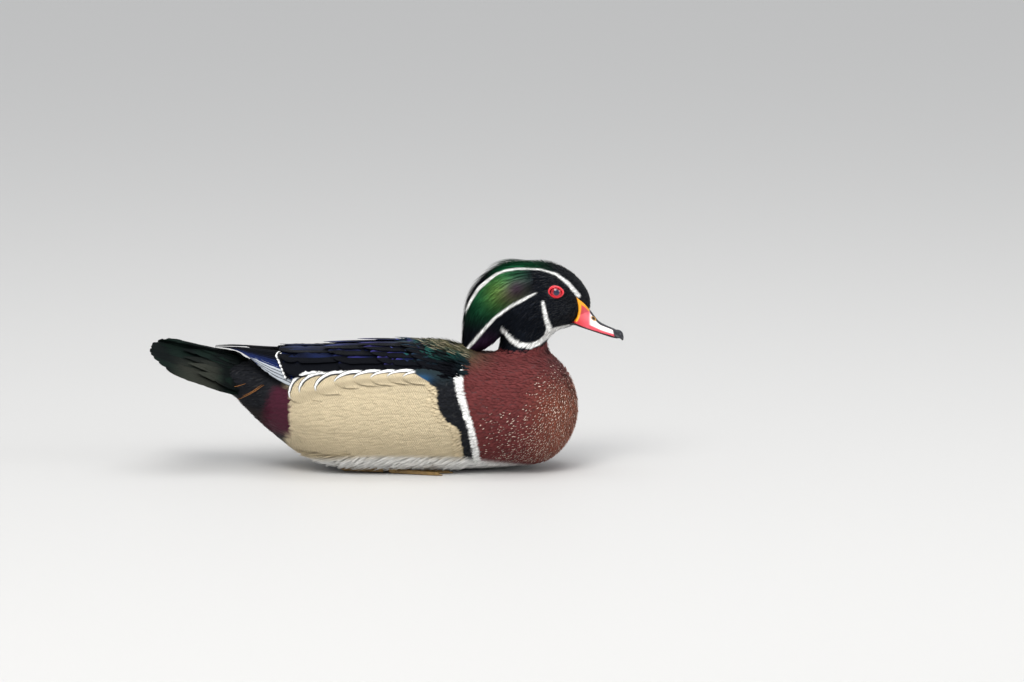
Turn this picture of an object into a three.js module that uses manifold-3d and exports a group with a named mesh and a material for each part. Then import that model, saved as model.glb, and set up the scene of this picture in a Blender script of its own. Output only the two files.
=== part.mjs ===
// A drake wood duck at rest on its belly, neck drawn in and feet tucked under: a still, life-size model.
// Millimetres, +Z up. The bird faces +X, its right side is -Y, and z = 0 is the ground it lies on.
import * as THREE from 'three';
import { mergeVertices } from 'three/addons/utils/BufferGeometryUtils.js';
import Module from 'manifold-3d';

const wasm = await Module();
wasm.setup();
const { Manifold, Mesh: SolidMesh } = wasm;

// Driving sizes of the bird.
const gap = 0.3;                 // clearance between touching pieces
const breastFront = 153;         // foremost point of the breast
const rumpEnd = -140;            // rearmost point of the rump, inside the tail
const foreheadFront = 163;       // foremost point of the forehead
const occiputEnd = 80;           // rearmost point of the skull, inside the crest
const eyeRadius = 6;
const eyeSpot = new THREE.Vector3(134, 14.2, 143.5);
const featherThick = 0.8;        // vane thickness along the quill
const breastCutX = 58;           // the breast piece ends here, behind the neck
const rumpCutX = -80;            // the rump piece starts here
const neckBaseZ = 94;            // the neck leaves the breast at this height
const headBaseZ = 104;           // the head starts at this height

// Height and width of the body along its length, as [x, value].
const bodyTop = [[-140, 86], [-125, 88], [-110, 88.5], [-90, 89], [-70, 91.5], [-45, 95], [-15, 98], [15, 100],
  [45, 100.5], [60, 99], [75, 94.5], [90, 94], [110, 98], [153, 101]];
const bodyMiddle = [[-140, 79], [-125, 75], [-110, 69], [-90, 61], [-70, 54], [-45, 50], [-15, 48], [45, 47], [153, 48]];
const bodyKeel = [[-140, 70], [-125, 57], [-110, 44], [-90, 26], [-70, 11], [-45, 1.5], [-15, -1.4], [45, -1.5],
  [75, -1.2], [110, 1], [153, 0]];
const bodyHalfWidth = [[-140, 13], [-125, 21], [-110, 29], [-90, 40], [-70, 50.5], [-45, 58.5], [-15, 62], [15, 63],
  [45, 62], [60, 60], [75, 58.5], [90, 56.5], [110, 54], [130, 52], [153, 50]];

// Height and width of the head along its length.
const headTop = [[78, 162], [92, 164.5], [104, 165.6], [123, 166.4], [136, 164.8], [151, 163.2], [163, 159]];
const headMiddle = [[78, 128], [110, 124], [136, 126], [145, 128], [155, 131], [163, 133.5]];
const headBottom = [[78, 104], [95, 100], [118, 98.5], [128, 103.5], [136, 110.2], [145, 110.6], [163, 110]];
const headHalfWidth = [[78, 16], [95, 19], [118, 20.5], [134, 20], [143, 19], [155, 16], [163, 14]];

// The neck's back, front and half width, by height.
const neckBack = [[70, 78], [85, 84], [95, 87.5], [106, 89], [116, 88]];
const neckFront = [[70, 140], [85, 134], [95, 129], [101, 127.8], [106, 129.5], [116, 134]];
const neckHalfWidth = [[70, 31], [85, 27], [95, 22.5], [101, 20.6], [116, 19.5]];

// The bill: its ridge, cutting edge, lower line and half width along its length.
const billRidge = [[149, 139], [152, 137.2], [157, 132.6], [161.5, 126.6], [168.7, 117.6], [174, 114.6], [179, 112.4],
  [184, 110], [188.4, 105]];
const billEdge = [[149, 118.2], [157, 114.3], [167, 110.6], [179, 107], [188.4, 103.4]];
const billUnder = [[149, 115], [157, 112.2], [167, 108.8], [179, 104.6], [188.4, 101.6]];
const billHalfWidth = [[149, 14.1], [153, 12.6], [157, 10.7], [162, 9.2], [169, 8.2], [178, 7.8], [184, 7.2], [188.4, 5]];

// The folded wing lies on a shell of its own: top line, middle and half width along the back.
const shellTop = [[-140, 98], [-120, 98.6], [-90, 98], [-61, 98.6], [-30, 100.8], [0, 102.4], [28, 103], [48, 102],
  [66, 97.6]];
const shellMiddle = [[-140, 97], [-120, 91], [-105, 81], [-77, 60], [-45, 50], [0, 47], [66, 47]];
const shellHalfWidth = [[-140, 13], [-120, 24], [-105, 35], [-77, 50.5], [-45, 61], [-15, 64.6], [28, 65], [66, 62]];

// A smooth curve through knots of [x, value] that never overshoots them.
function smoothThrough(knots) {
  const slopes = knots.map((knot, i) => {
    if (i === 0 || i === knots.length - 1) return 0;
    const before = (knot[1] - knots[i - 1][1]) / (knot[0] - knots[i - 1][0]);
    const after = (knots[i + 1][1] - knot[1]) / (knots[i + 1][0] - knot[0]);
    return before * after <= 0 ? 0 : (2 * before * after) / (before + after);
  });
  const first = knots[0];
  const second = knots[1];
  slopes[0] = (second[1] - first[1]) / (second[0] - first[0]);
  const last = knots.length - 1;
  slopes[last] = (knots[last][1] - knots[last - 1][1]) / (knots[last][0] - knots[last - 1][0]);
  return (x) => {
    let i = 0;
    while (i < last - 1 && x > knots[i + 1][0]) i += 1;
    const span = knots[i + 1][0] - knots[i][0];
    const t = THREE.MathUtils.clamp((x - knots[i][0]) / span, 0, 1);
    const rise = knots[i + 1][1] - knots[i][1];
    const a = slopes[i] * span;
    const b = slopes[i + 1] * span;
    return knots[i][1] + t * (a + t * (3 * rise - 2 * a - b + t * (a + b - 2 * rise)));
  };
}

// A point deep in the body, to tell outside from inside.
const bodyHeart = new THREE.Vector3(0, 0, 45);

// A seeded stream of draws from -1 to 1.
function seededDraws(seed) {
  let state = seed;
  return () => {
    state = (state * 16807) % 2147483647;
    return (state / 2147483647) * 2 - 1;
  };
}

// Sine or cosine raised to a power with its sign kept, for superellipse sections.
function signedPower(value, power) {
  return Math.sign(value) * Math.abs(value) ** power;
}

// How full a section is near a rounded end: 1 before start, 0 at end.
function roundedEnd(x, start, end) {
  const t = THREE.MathUtils.clamp((x - start) / (end - start), 0, 1);
  return Math.sqrt(Math.max(0, 1 - t * t));
}

function solidOf(geometry) {
  const bare = new THREE.BufferGeometry();
  bare.setAttribute('position', geometry.getAttribute('position').clone());
  bare.setIndex(geometry.index.clone());
  const merged = mergeVertices(bare, 1e-4);
  const triangles = [];
  const index = merged.index.array;
  for (let i = 0; i < index.length; i += 3) {
    const [a, b, c] = [index[i], index[i + 1], index[i + 2]];
    if (a !== b && b !== c && c !== a) triangles.push(a, b, c);
  }
  const solid = new Manifold(new SolidMesh({
    numProp: 3,
    vertProperties: merged.getAttribute('position').array,
    triVerts: new Uint32Array(triangles),
  }));
  if (solid.volume() >= 0) return solid;
  for (let i = 0; i < triangles.length; i += 3) {
    [triangles[i + 1], triangles[i + 2]] = [triangles[i + 2], triangles[i + 1]];
  }
  return new Manifold(new SolidMesh({
    numProp: 3,
    vertProperties: merged.getAttribute('position').array,
    triVerts: new Uint32Array(triangles),
  }));
}

// The largest closed body of a solid: loose scraps and sealed hollows go.
function largestBody(solid) {
  const bodies = solid.decompose().sort((a, b) => b.volume() - a.volume());
  return bodies[0];
}

function geometryOf(solid) {
  const mesh = largestBody(solid).getMesh();
  const positions = new Float32Array(mesh.numVert * 3);
  for (let i = 0; i < mesh.numVert; i += 1) {
    positions.set(mesh.vertProperties.slice(i * mesh.numProp, i * mesh.numProp + 3), i * 3);
  }
  const geometry = new THREE.BufferGeometry();
  geometry.setAttribute('position', new THREE.BufferAttribute(positions, 3));
  geometry.setIndex(new THREE.BufferAttribute(new Uint32Array(mesh.triVerts), 1));
  geometry.computeVertexNormals();
  return geometry;
}

function joined(solids) {
  return solids.reduce((sum, solid) => sum.add(solid));
}

// A closed rounded body: a sphere whose rings and meridians are laid by place(along 0..1, angle).
function roundedBody(around, along, place) {
  const geometry = new THREE.SphereGeometry(1, around, along);
  const position = geometry.getAttribute('position');
  const uv = geometry.getAttribute('uv');
  for (let i = 0; i < position.count; i += 1) {
    const spot = place(1 - uv.getY(i), (Math.round(uv.getX(i) * around) % around) / around * Math.PI * 2);
    position.setXYZ(i, spot.x, spot.y, spot.z);
  }
  // The two poles have one vertex for each meridian, each at its own half step, so they are gathered.
  for (let i = 0; i <= around; i += 1) {
    const [low, high] = [place(0, 0), place(1, 0)];
    position.setXYZ(i, low.x, low.y, low.z);
    position.setXYZ(position.count - 1 - i, high.x, high.y, high.z);
  }
  return solidOf(geometry);
}

// Maps 0..1 onto a span with stations gathered towards both ends, as a dome needs.
function domeStation(t, start, end) {
  return start + (end - start) * (1 - Math.cos(Math.PI * t)) / 2;
}

const bodyLines = {
  top: smoothThrough(bodyTop),
  middle: smoothThrough(bodyMiddle),
  keel: smoothThrough(bodyKeel),
  half: smoothThrough(bodyHalfWidth),
};

// A point on the body's surface at a station and an angle from the spine, grown outwards by grow.
function bodyPoint(x, angle, grow = 0) {
  const full = roundedEnd(x, 108, breastFront + grow) * roundedEnd(x, -104, rumpEnd - grow);
  const middle = bodyLines.middle(x);
  const up = (bodyLines.top(x) - middle) * full + grow;
  const down = (middle - bodyLines.keel(x)) * full + grow;
  const half = bodyLines.half(x) * full + grow;
  const across = signedPower(Math.sin(angle), 0.9);
  const high = Math.cos(angle);
  const z = middle + (high > 0 ? up * high ** 0.9 : -down * Math.abs(high) ** 0.96);
  return new THREE.Vector3(x, half * across, z);
}

function wholeBody(grow = 0) {
  return roundedBody(28, 26, (t, angle) => (
    bodyPoint(domeStation(t, rumpEnd - grow, breastFront + grow), angle, grow)));
}

const headLines = {
  top: smoothThrough(headTop),
  middle: smoothThrough(headMiddle),
  bottom: smoothThrough(headBottom),
  half: smoothThrough(headHalfWidth),
};

function headPoint(x, angle, grow = 0) {
  const full = roundedEnd(x, 128, foreheadFront + grow) * roundedEnd(x, 108, occiputEnd - grow);
  const middle = headLines.middle(x);
  const up = (headLines.top(x) - middle) * full + grow;
  const down = (middle - headLines.bottom(x)) * full + grow;
  const half = headLines.half(x) * full + grow;
  const high = Math.cos(angle);
  const z = middle + (high > 0 ? up * high ** 1.02 : -down * Math.abs(high) ** 0.92);
  return new THREE.Vector3(x, half * signedPower(Math.sin(angle), 1.02), z);
}

function wholeHead(grow = 0) {
  return roundedBody(24, 16, (t, angle) => (
    headPoint(domeStation(t, occiputEnd - grow, foreheadFront + grow), angle, grow)));
}

function wholeNeck(grow = 0) {
  const lines = [neckBack, neckFront, neckHalfWidth].map(smoothThrough);
  const low = neckBack[0][0];
  const high = neckBack[neckBack.length - 1][0];
  const geometry = new THREE.CylinderGeometry(1, 1, 1, 20, 5);
  const position = geometry.getAttribute('position');
  for (let i = 0; i < position.count; i += 1) {
    const z = low + (position.getY(i) + 0.5) * (high - low);
    const [back, front, half] = lines.map((line) => line(z));
    const [x, y] = [position.getX(i), position.getZ(i)];
    position.setXYZ(i, (back + front) / 2 + x * ((front - back) / 2 + grow), y * (half + grow), z);
  }
  return solidOf(geometry);
}

// A block of space between two stations of one axis, to cut the body into its named parts.
function slab(axis, from, to) {
  const wide = 900;
  const size = new THREE.Vector3(wide, wide, wide).setComponent(axis, to - from);
  const geometry = new THREE.BoxGeometry(size.x, size.y, size.z);
  const centre = new THREE.Vector3().setComponent(axis, (from + to) / 2);
  geometry.translate(centre.x, centre.y, centre.z);
  return solidOf(geometry);
}

// A feather's vane laid on a sheet. sheet(u, v) gives a point there; the quill runs from root to tip in (u, v).
// tilt lifts one edge and lowers the other, as feathers lie side by side. Both faces are split alike, so that a thin
// vane never crosses itself.
function vane(sheet, feather) {
  const { root, tip, halfWidth, lift, rows = 3, thick = featherThick, grow = 0, taper = 0.35, tilt = 0 } = feather;
  const inside = feather.inside ?? bodyHeart;
  const columns = feather.flat ? [-1, 1] : [-1, 0, 1];
  const top = [];
  const bottom = [];
  const length = sheet(root[0], root[1]).distanceTo(sheet(tip[0], tip[1]));
  for (let row = 0; row <= rows; row += 1) {
    const t = (row / rows) * (1 + grow / length);
    const u = THREE.MathUtils.lerp(root[0], tip[0], t);
    const v = THREE.MathUtils.lerp(root[1], tip[1], t);
    const step = 1e-3;
    const spot = sheet(u, v);
    const alongU = sheet(u + step, v).sub(spot).divideScalar(step);
    const alongV = sheet(u, v + step).sub(spot).divideScalar(step);
    const normal = alongU.clone().cross(alongV).normalize();
    if (normal.dot(spot.clone().sub(inside)) < 0) normal.negate();
    const along = alongU.multiplyScalar(tip[0] - root[0]).add(alongV.multiplyScalar(tip[1] - root[1])).normalize();
    const side = along.clone().cross(normal).normalize();
    const swell = 0.62 + 0.38 * Math.sin(Math.min(1, t / 0.5) * Math.PI / 2);
    const spread = t < 0.5 ? swell : 1 - (1 - taper) * ((t - 0.5) / 0.5) ** 2.2;
    const reach = halfWidth * spread + grow;
    const height = THREE.MathUtils.lerp(lift[0], lift[1], t);
    columns.forEach((column) => {
      const edge = height + tilt * column * Math.min(1, t * 2) - (feather.cup ?? 0) * column * column;
      const centre = spot.clone().addScaledVector(side, column * reach).addScaledVector(normal, edge);
      const half = (column === 0 ? thick : thick * 0.75) / 2 + grow;
      top.push(centre.clone().addScaledVector(normal, half));
      bottom.push(centre.clone().addScaledVector(normal, -half));
    });
  }
  const under = top.length;
  const width = columns.length;
  const index = [];
  for (let row = 0; row < rows; row += 1) {
    for (let column = 0; column < width - 1; column += 1) {
      const a = row * width + column;
      const b = a + 1;
      const c = a + width;
      const d = c + 1;
      index.push(a, b, c, b, d, c);
      index.push(under + a, under + c, under + b, under + b, under + c, under + d);
    }
  }
  const rim = [];
  for (let column = 0; column < width - 1; column += 1) rim.push(column);
  for (let row = 0; row < rows; row += 1) rim.push(row * width + width - 1);
  for (let column = width - 1; column > 0; column -= 1) rim.push(rows * width + column);
  for (let row = rows; row > 0; row -= 1) rim.push(row * width);
  rim.forEach((a, i) => {
    const b = rim[(i + 1) % rim.length];
    index.push(a, under + a, b, b, under + a, under + b);
  });
  const geometry = new THREE.BufferGeometry();
  const points = [...top, ...bottom];
  geometry.setAttribute('position', new THREE.Float32BufferAttribute(points.flatMap((point) => point.toArray()), 3));
  geometry.setIndex(index);
  return solidOf(geometry);
}

// A pad laid on a sheet: a flat lens over the given span of (u, v), from sink below it to rise above it.
function pad(sheet, span, sink, rise, around, along) {
  const middleU = (span.u[0] + span.u[1]) / 2;
  const middleV = (span.v[0] + span.v[1]) / 2;
  return roundedBody(around, along, (t, angle) => {
    const reach = Math.max(0, Math.sin(Math.PI * t)) ** 0.6;
    const u = middleU - Math.cos(Math.PI * t) * (span.u[1] - span.u[0]) / 2;
    const v = middleV + Math.cos(angle) * reach * (span.v[1] - span.v[0]) / 2;
    const step = 1e-3;
    const spot = sheet(u, v);
    const normal = sheet(u + step, v).sub(spot).cross(sheet(u, v + step).sub(spot)).normalize();
    if (normal.dot(spot.clone().sub(new THREE.Vector3(u, 0, 50))) < 0) normal.negate();
    const bulge = Math.sin(angle) * reach;
    return spot.addScaledVector(normal, bulge > 0 ? bulge * rise : bulge * sink);
  });
}

function mirrored(solid) {
  const geometry = geometryOf(solid);
  geometry.scale(1, -1, 1);
  return solidOf(geometry);
}

// Feet: the shank lies along the belly, three webbed toes point forward, flat on the ground.
const foot = { heelX: -34, rootX: 6, y: 30, shank: 3.1, toeLengths: [34, 42, 36], toeAngles: [-0.3, 0.02, 0.34] };

// A limb's length: a capsule with round ends between two points, thinner at its end.
function limb(from, to, startRadius, endRadius, sides = 6) {
  const axis = to.clone().sub(from);
  const length = axis.length();
  const profile = [];
  const rounds = 2;
  for (let i = 0; i <= rounds; i += 1) {
    const a = (i / rounds) * Math.PI / 2;
    profile.push(new THREE.Vector2(startRadius * Math.sin(a), -startRadius * Math.cos(a)));
  }
  for (let i = 0; i <= rounds; i += 1) {
    const a = (i / rounds) * Math.PI / 2;
    profile.push(new THREE.Vector2(endRadius * Math.cos(a), length + endRadius * Math.sin(a)));
  }
  profile[0].x = 0;
  profile[profile.length - 1].x = 0;
  const geometry = new THREE.LatheGeometry(profile, sides);
  geometry.applyQuaternion(new THREE.Quaternion().setFromUnitVectors(new THREE.Vector3(0, 1, 0), axis.normalize()));
  geometry.translate(from.x, from.y, from.z);
  return solidOf(geometry);
}

function toeTip(i) {
  const angle = foot.toeAngles[i];
  const reach = foot.toeLengths[i];
  return new THREE.Vector3(foot.rootX + reach * Math.cos(angle), foot.y + reach * Math.sin(angle), 1.2);
}

function shankSolid(grow = 0) {
  const heel = new THREE.Vector3(foot.heelX, foot.y - 6, 5);
  const ankle = new THREE.Vector3(foot.rootX - 6, foot.y - 0.5, 3.6);
  return limb(heel, ankle, foot.shank + 1 + grow, foot.shank + grow, 8);
}

function footSolid() {
  const root = new THREE.Vector3(foot.rootX, foot.y, 2.6);
  const heel = root.clone().add(new THREE.Vector3(-2, 0, 0.2));
  const parts = [limb(heel, root.clone().add(new THREE.Vector3(4, 0, -0.2)), 3.1, 2.6)];
  foot.toeLengths.forEach((_, i) => {
    const tip = toeTip(i);
    const claw = tip.clone().add(tip.clone().sub(root).setZ(0).setLength(4)).setZ(0.6);
    parts.push(limb(root.clone().setZ(1.8), tip, 2.2, 1.4));
    parts.push(limb(tip, claw, 1, 0.5, 4));
  });
  const web = new THREE.Shape();
  web.moveTo(root.x, root.y);
  web.lineTo(toeTip(0).x, toeTip(0).y);
  for (let i = 0; i < 2; i += 1) {
    const [a, b] = [toeTip(i), toeTip(i + 1)];
    const hollow = a.clone().lerp(b, 0.5).lerp(root, 0.16);
    web.quadraticCurveTo(hollow.x, hollow.y, b.x, b.y);
  }
  web.closePath();
  const sheet = new THREE.ExtrudeGeometry(web, { depth: 0.9, bevelEnabled: false, curveSegments: 4 });
  sheet.translate(0, 0, 0.9);
  const bare = new THREE.BufferGeometry();
  bare.setAttribute('position', sheet.getAttribute('position'));
  parts.push(solidOf(mergeVertices(bare, 1e-4)));
  const hindTip = new THREE.Vector3(foot.rootX - 14, foot.y - 9, 1.4);
  parts.push(limb(root.clone().add(new THREE.Vector3(-3, -2, 0)), hindTip, 1.6, 1));
  return joined(parts);
}

// The hollow in the belly that a foot lies in: a flat dome over the toes and a groove for the shank.
function footHollow() {
  const dome = new THREE.SphereGeometry(1, 12, 8);
  dome.rotateX(Math.PI / 2);
  dome.scale(42, 22, 6);
  dome.translate(foot.rootX + 16, foot.y, 0.6);
  return solidOf(dome).add(shankSolid(0.6));
}

// Eye and the bare ring of skin round it, on the left side.
function eyeSolid(grow = 0) {
  const geometry = new THREE.SphereGeometry(eyeRadius + grow, 12, 8);
  geometry.rotateX(Math.PI / 2);
  geometry.translate(eyeSpot.x, eyeSpot.y, eyeSpot.z);
  return solidOf(geometry);
}

function eyeRingSolid(grow = 0) {
  const geometry = new THREE.TorusGeometry(5.4, 1.05 + grow, 5, 15);
  geometry.scale(1.06, 0.94, 1);
  geometry.rotateX(Math.PI / 2 - 0.2);
  geometry.rotateZ(-0.1);
  geometry.translate(eyeSpot.x, eyeSpot.y + 3.5, eyeSpot.z + 0.7);
  return solidOf(geometry);
}

const billLines = {
  ridge: smoothThrough(billRidge),
  edge: smoothThrough(billEdge),
  under: smoothThrough(billUnder),
  half: smoothThrough(billHalfWidth),
};
const billStart = billRidge[0][0] - 4;
const billEnd = billRidge[billRidge.length - 1][0];

// The upper bill: high and narrow at the face, low and broad at the nail, which hooks over the tip.
function upperBillSolid(grow = 0) {
  const bill = roundedBody(14, 10, (t, angle) => {
    const x = billStart - grow + (billEnd + 2 * grow - billStart) * (0.12 * t + 0.88 * Math.sin(t * Math.PI / 2));
    const tipFull = roundedEnd(x, billEnd - 9, billEnd + grow + 0.01);
    const base = t === 0 ? 0.02 : 1;
    const ridge = billLines.ridge(x);
    const edge = billLines.edge(x);
    const half = (billLines.half(x) * (0.25 + 0.75 * tipFull) * (tipFull > 0 ? 1 : 0) + grow) * base;
    const high = Math.cos(angle);
    const rise = high > 0 ? (ridge - edge) * base * high ** 1.15 : 0;
    return new THREE.Vector3(x, half * signedPower(Math.sin(angle), high > 0 ? 0.85 : 1),
      edge + rise * (0.2 + 0.8 * tipFull) + (high > 0 ? grow * high : grow * high));
  });
  const nail = limb(new THREE.Vector3(184.5, 0, 107), new THREE.Vector3(187.6, 0, 102.6), 2.6 + grow, 1 + grow, 10);
  return bill.add(nail);
}

function nostrils() {
  const geometry = new THREE.SphereGeometry(1, 8, 4);
  geometry.scale(2.1, 30, 0.95);
  geometry.rotateY(0.7);
  geometry.translate(164.4, 0, 119.3);
  const through = solidOf(geometry);
  const septum = new THREE.BoxGeometry(12, 2.4, 12);
  septum.translate(164.4, 0, 119.3);
  return through.subtract(solidOf(septum));
}

function lowerBillSolid() {
  return roundedBody(10, 8, (t, angle) => {
    const x = THREE.MathUtils.lerp(billStart, 184, 0.12 * t + 0.88 * Math.sin(t * Math.PI / 2));
    const tipFull = roundedEnd(x, 176, 184.01);
    const base = t === 0 ? 0.02 : 1;
    const edge = billLines.edge(x) - 3 * gap;
    const under = billLines.under(x);
    const high = Math.cos(angle);
    const half = (billLines.half(x) * 0.86) * (0.3 + 0.7 * tipFull) * base * (tipFull > 0 ? 1 : 0);
    return new THREE.Vector3(x, half * Math.sin(angle), high > 0 ? edge : edge + (edge - under) * high * tipFull * base);
  });
}

// The crest: two lines bound it in side view, from the crown to the drooping tip. along 0..1, band 0 (outer) to 1.
const crestOuter = new THREE.CatmullRomCurve3([
  new THREE.Vector3(116, 0, 166.6), new THREE.Vector3(101, 0, 166.8), new THREE.Vector3(88, 0, 164.2),
  new THREE.Vector3(77, 0, 157.2), new THREE.Vector3(67.6, 0, 146.4), new THREE.Vector3(62, 0, 134),
  new THREE.Vector3(59.8, 0, 119), new THREE.Vector3(59.2, 0, 104), new THREE.Vector3(60.4, 0, 92.8)]);
const crestInner = new THREE.CatmullRomCurve3([
  new THREE.Vector3(116, 0, 140), new THREE.Vector3(108, 0, 128), new THREE.Vector3(98, 0, 115.5),
  new THREE.Vector3(89.5, 0, 106.5), new THREE.Vector3(84, 0, 101.2), new THREE.Vector3(77, 0, 96.2),
  new THREE.Vector3(63, 0, 92.8)]);
const crestHalfWidth = smoothThrough([[0, 18.6], [0.25, 18.4], [0.5, 15], [0.75, 10.5], [1, 4.6]]);
const crestHeart = new THREE.Vector3(92, 0, 126);

function crestPoint(along, band) {
  const t = THREE.MathUtils.clamp(along, 0, 1);
  const spot = crestOuter.getPoint(t).lerp(crestInner.getPoint(t), THREE.MathUtils.clamp(band, 0, 1));
  const rounding = Math.sin(Math.min(1, Math.max(0.02, band) / 0.62) * Math.PI / 2) ** 0.8;
  spot.y = crestHalfWidth(t) * rounding * (1 - 0.3 * Math.max(0, (band - 0.62) / 0.38) ** 2);
  return spot;
}

// The crest's core: the lobe between its two lines as far as reach, drawn in from its surface by inset.
function crestCore(reach, inset) {
  return roundedBody(12, 7, (t, angle) => {
    const along = reach * t;
    const spin = angle / Math.PI;
    const spot = crestPoint(along, spin <= 1 ? spin : 2 - spin);
    if (spin > 1) spot.y *= -1;
    const heart = crestOuter.getPoint(along).lerp(crestInner.getPoint(along), 0.5);
    return spot.lerp(heart, t === 0 || t === 1 ? 1 : inset);
  });
}

// Long tapered feathers in tiers over the core, from the crown down to the tip, with a row along the ridge.
const crestTiers = [
  { from: 0.03, to: 0.5, count: 3, lift: [-1.8, 1.0], halfWidth: 7.4 },
  { from: 0.24, to: 0.76, count: 3, lift: [-2.2, 1.0], halfWidth: 6.2 },
  { from: 0.42, to: 1, count: 3, lift: [-2.4, -0.6], halfWidth: 4.6 },
];

function crestSolid() {
  const draw = seededDraws(71);
  const feathers = crestTiers.flatMap((tier) => {
    const sides = Array.from({ length: tier.count }, (_, i) => {
      const band = 0.1 + 0.86 * (i + 0.4) / tier.count;
      const right = vane(crestPoint, {
        root: [tier.from, band], tip: [tier.to + 0.012 * draw(), band], halfWidth: tier.halfWidth, lift: tier.lift,
        rows: 3, taper: 0.22, tilt: -1.5, thick: 1, flat: true, inside: crestHeart,
      });
      return [right, mirrored(right)];
    });
    const ridgeSheet = (along, across) => crestOuter.getPoint(THREE.MathUtils.clamp(along, 0, 1)).setY(across);
    const ridge = vane(ridgeSheet, {
      root: [tier.from, 0], tip: [tier.to, 0], halfWidth: tier.halfWidth - 1, lift: [tier.lift[0], tier.lift[1] + 0.4],
      rows: 5, taper: 0.22, cup: 1, thick: 1, flat: true, inside: crestHeart,
    });
    return [...sides.flat(), ridge];
  });
  return joined([crestCore(0.5, 0.1), ...feathers]);
}

const shellLines = {
  top: smoothThrough(shellTop),
  middle: smoothThrough(shellMiddle),
  half: smoothThrough(shellHalfWidth),
};

// A point on the folded wings' shell on the left side, at a station and an angle from the spine.
function shellPoint(x, angle) {
  const middle = shellLines.middle(x);
  const high = Math.cos(angle);
  const z = middle + (shellLines.top(x) - middle) * signedPower(high, 0.9);
  return new THREE.Vector3(x, shellLines.half(x) * signedPower(Math.sin(angle), 0.9), z);
}

// Rows of wing feathers from the innermost out, each laid over the one before. Angles are from the spine, and each
// pair of values runs from the row's lowest feather to its highest.
const wingRows = [
  // Primaries
  { count: 4, rootX: -60, tipX: [-106, -137], rootAngle: [1.34, 0.8], tipAngle: [1.12, 0.62],
    halfWidth: [4.4, 4.8], lift: [-1.6, -0.4], rows: 3, taper: 0.3, tilt: 1.2 },
  // Secondaries
  { count: 3, rootX: -50, tipX: [-80, -94], rootAngle: [1.12, 0.36], tipAngle: [1.06, 0.34],
    halfWidth: [10.5, 10], lift: [-1.5, 0.6], rows: 3, taper: 0.72, tilt: 1.8 },
  // Tertials
  { count: 3, rootX: -22, tipX: [-60, -84], rootAngle: [0.86, 0.22], tipAngle: [0.84, 0.22],
    halfWidth: [11.5, 9], lift: [-1.5, 1.5], rows: 3, taper: 0.6, tilt: 1.8 },
  // Long shoulder feathers
  { count: 3, rootX: 8, tipX: [-26, -44], rootAngle: [0.84, 0.24],
    tipAngle: [0.8, 0.22], halfWidth: [11.5, 9], lift: [-1.5, 1.3], rows: 3, taper: 0.55, tilt: 1.8 },
  // Shoulder feathers
  { count: 3, rootX: 40, tipX: [6, -6], rootAngle: [0.86, 0.26], tipAngle: [0.82, 0.24],
    halfWidth: [11.5, 9], lift: [-1.5, 1.2], rows: 3, taper: 0.55, tilt: 1.8 },
];

function wingSolid() {
  const draw = seededDraws(29);
  const base = pad(shellPoint, { u: [-86, 66], v: [0.06, 1.16] }, 6, 0.9, 12, 8);
  const feathers = wingRows.flatMap((row) => Array.from({ length: row.count }, (_, i) => {
    const t = i / (row.count - 1);
    const between = ([from, to]) => THREE.MathUtils.lerp(from, to, t);
    return vane(shellPoint, {
      ...row, root: [row.rootX, between(row.rootAngle)], flat: true,
      tip: [between(row.tipX) + 0.8 * draw(), between(row.tipAngle)], halfWidth: between(row.halfWidth),
    });
  }));
  return joined([base, ...feathers]).intersect(slab(1, gap, 200));
}

// The flank's sheet: close to the body below, lifted over the wing's lower edge at its top.
function flankSheet(x, angle) {
  const overWing = THREE.MathUtils.smoothstep(1.35 - angle, 0, 0.45);
  return bodyPoint(x, angle, 0.6 + 3.2 * overWing);
}

function flankPad(grow = 0) {
  return pad(flankSheet, { u: [-84 - grow, 68 + grow], v: [0.82 - grow / 60, 1.95] }, 6 + grow, 3 + grow, 12, 10);
}

// Soft feathers along the flank's upper edge, each laid back over the wing.
function flankSolid(grow = 0) {
  const count = 6;
  const plumes = Array.from({ length: count }, (_, i) => {
    const t = i / (count - 1);
    const rootX = THREE.MathUtils.lerp(34, -46, t);
    return vane(flankSheet, {
      root: [rootX, 1.1], tip: [rootX - 30, THREE.MathUtils.lerp(0.8, 0.98, t ** 1.5)], flat: true,
      halfWidth: 8, lift: [0.8, 2.2], rows: 3, taper: 0.4, tilt: 1.5, thick: 0.9, grow,
    });
  });
  return joined([flankPad(grow), ...plumes]);
}

// The tail's sheet, a low tent from the rump back: its tips' places, its width and its height at the root.
const tailRootX = -110;
const tailTips = [[0, -180, 102.6], [0.22, -187, 100], [0.4, -188.4, 97], [0.62, -186, 94.6], [0.82, -181, 91.4],
  [1, -174, 87]];
const tailTipX = smoothThrough(tailTips.map(([side, x]) => [side, x]));
const tailTipZ = smoothThrough(tailTips.map(([side, , z]) => [side, z]));
const tailRootHigh = 86.5;
const tailRootLow = 66;
const tailRootHalf = 15;
const tailSpread = 32;

// A point on the tail's sheet: along 0 at the root to 1 at the tip, side from -1 to 1.
function tailSheet(along, side) {
  const far = Math.min(1, Math.abs(side));
  const x = THREE.MathUtils.lerp(tailRootX, tailTipX(far), along);
  const spread = tailRootHalf * far * (1 - along) + tailSpread * far ** 1.15 * Math.max(0, along) ** 0.9;
  const rootZ = THREE.MathUtils.lerp(tailRootHigh, tailRootLow, far ** 1.6);
  return new THREE.Vector3(x, Math.sign(side) * spread, THREE.MathUtils.lerp(rootZ, tailTipZ(far), along));
}

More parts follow.
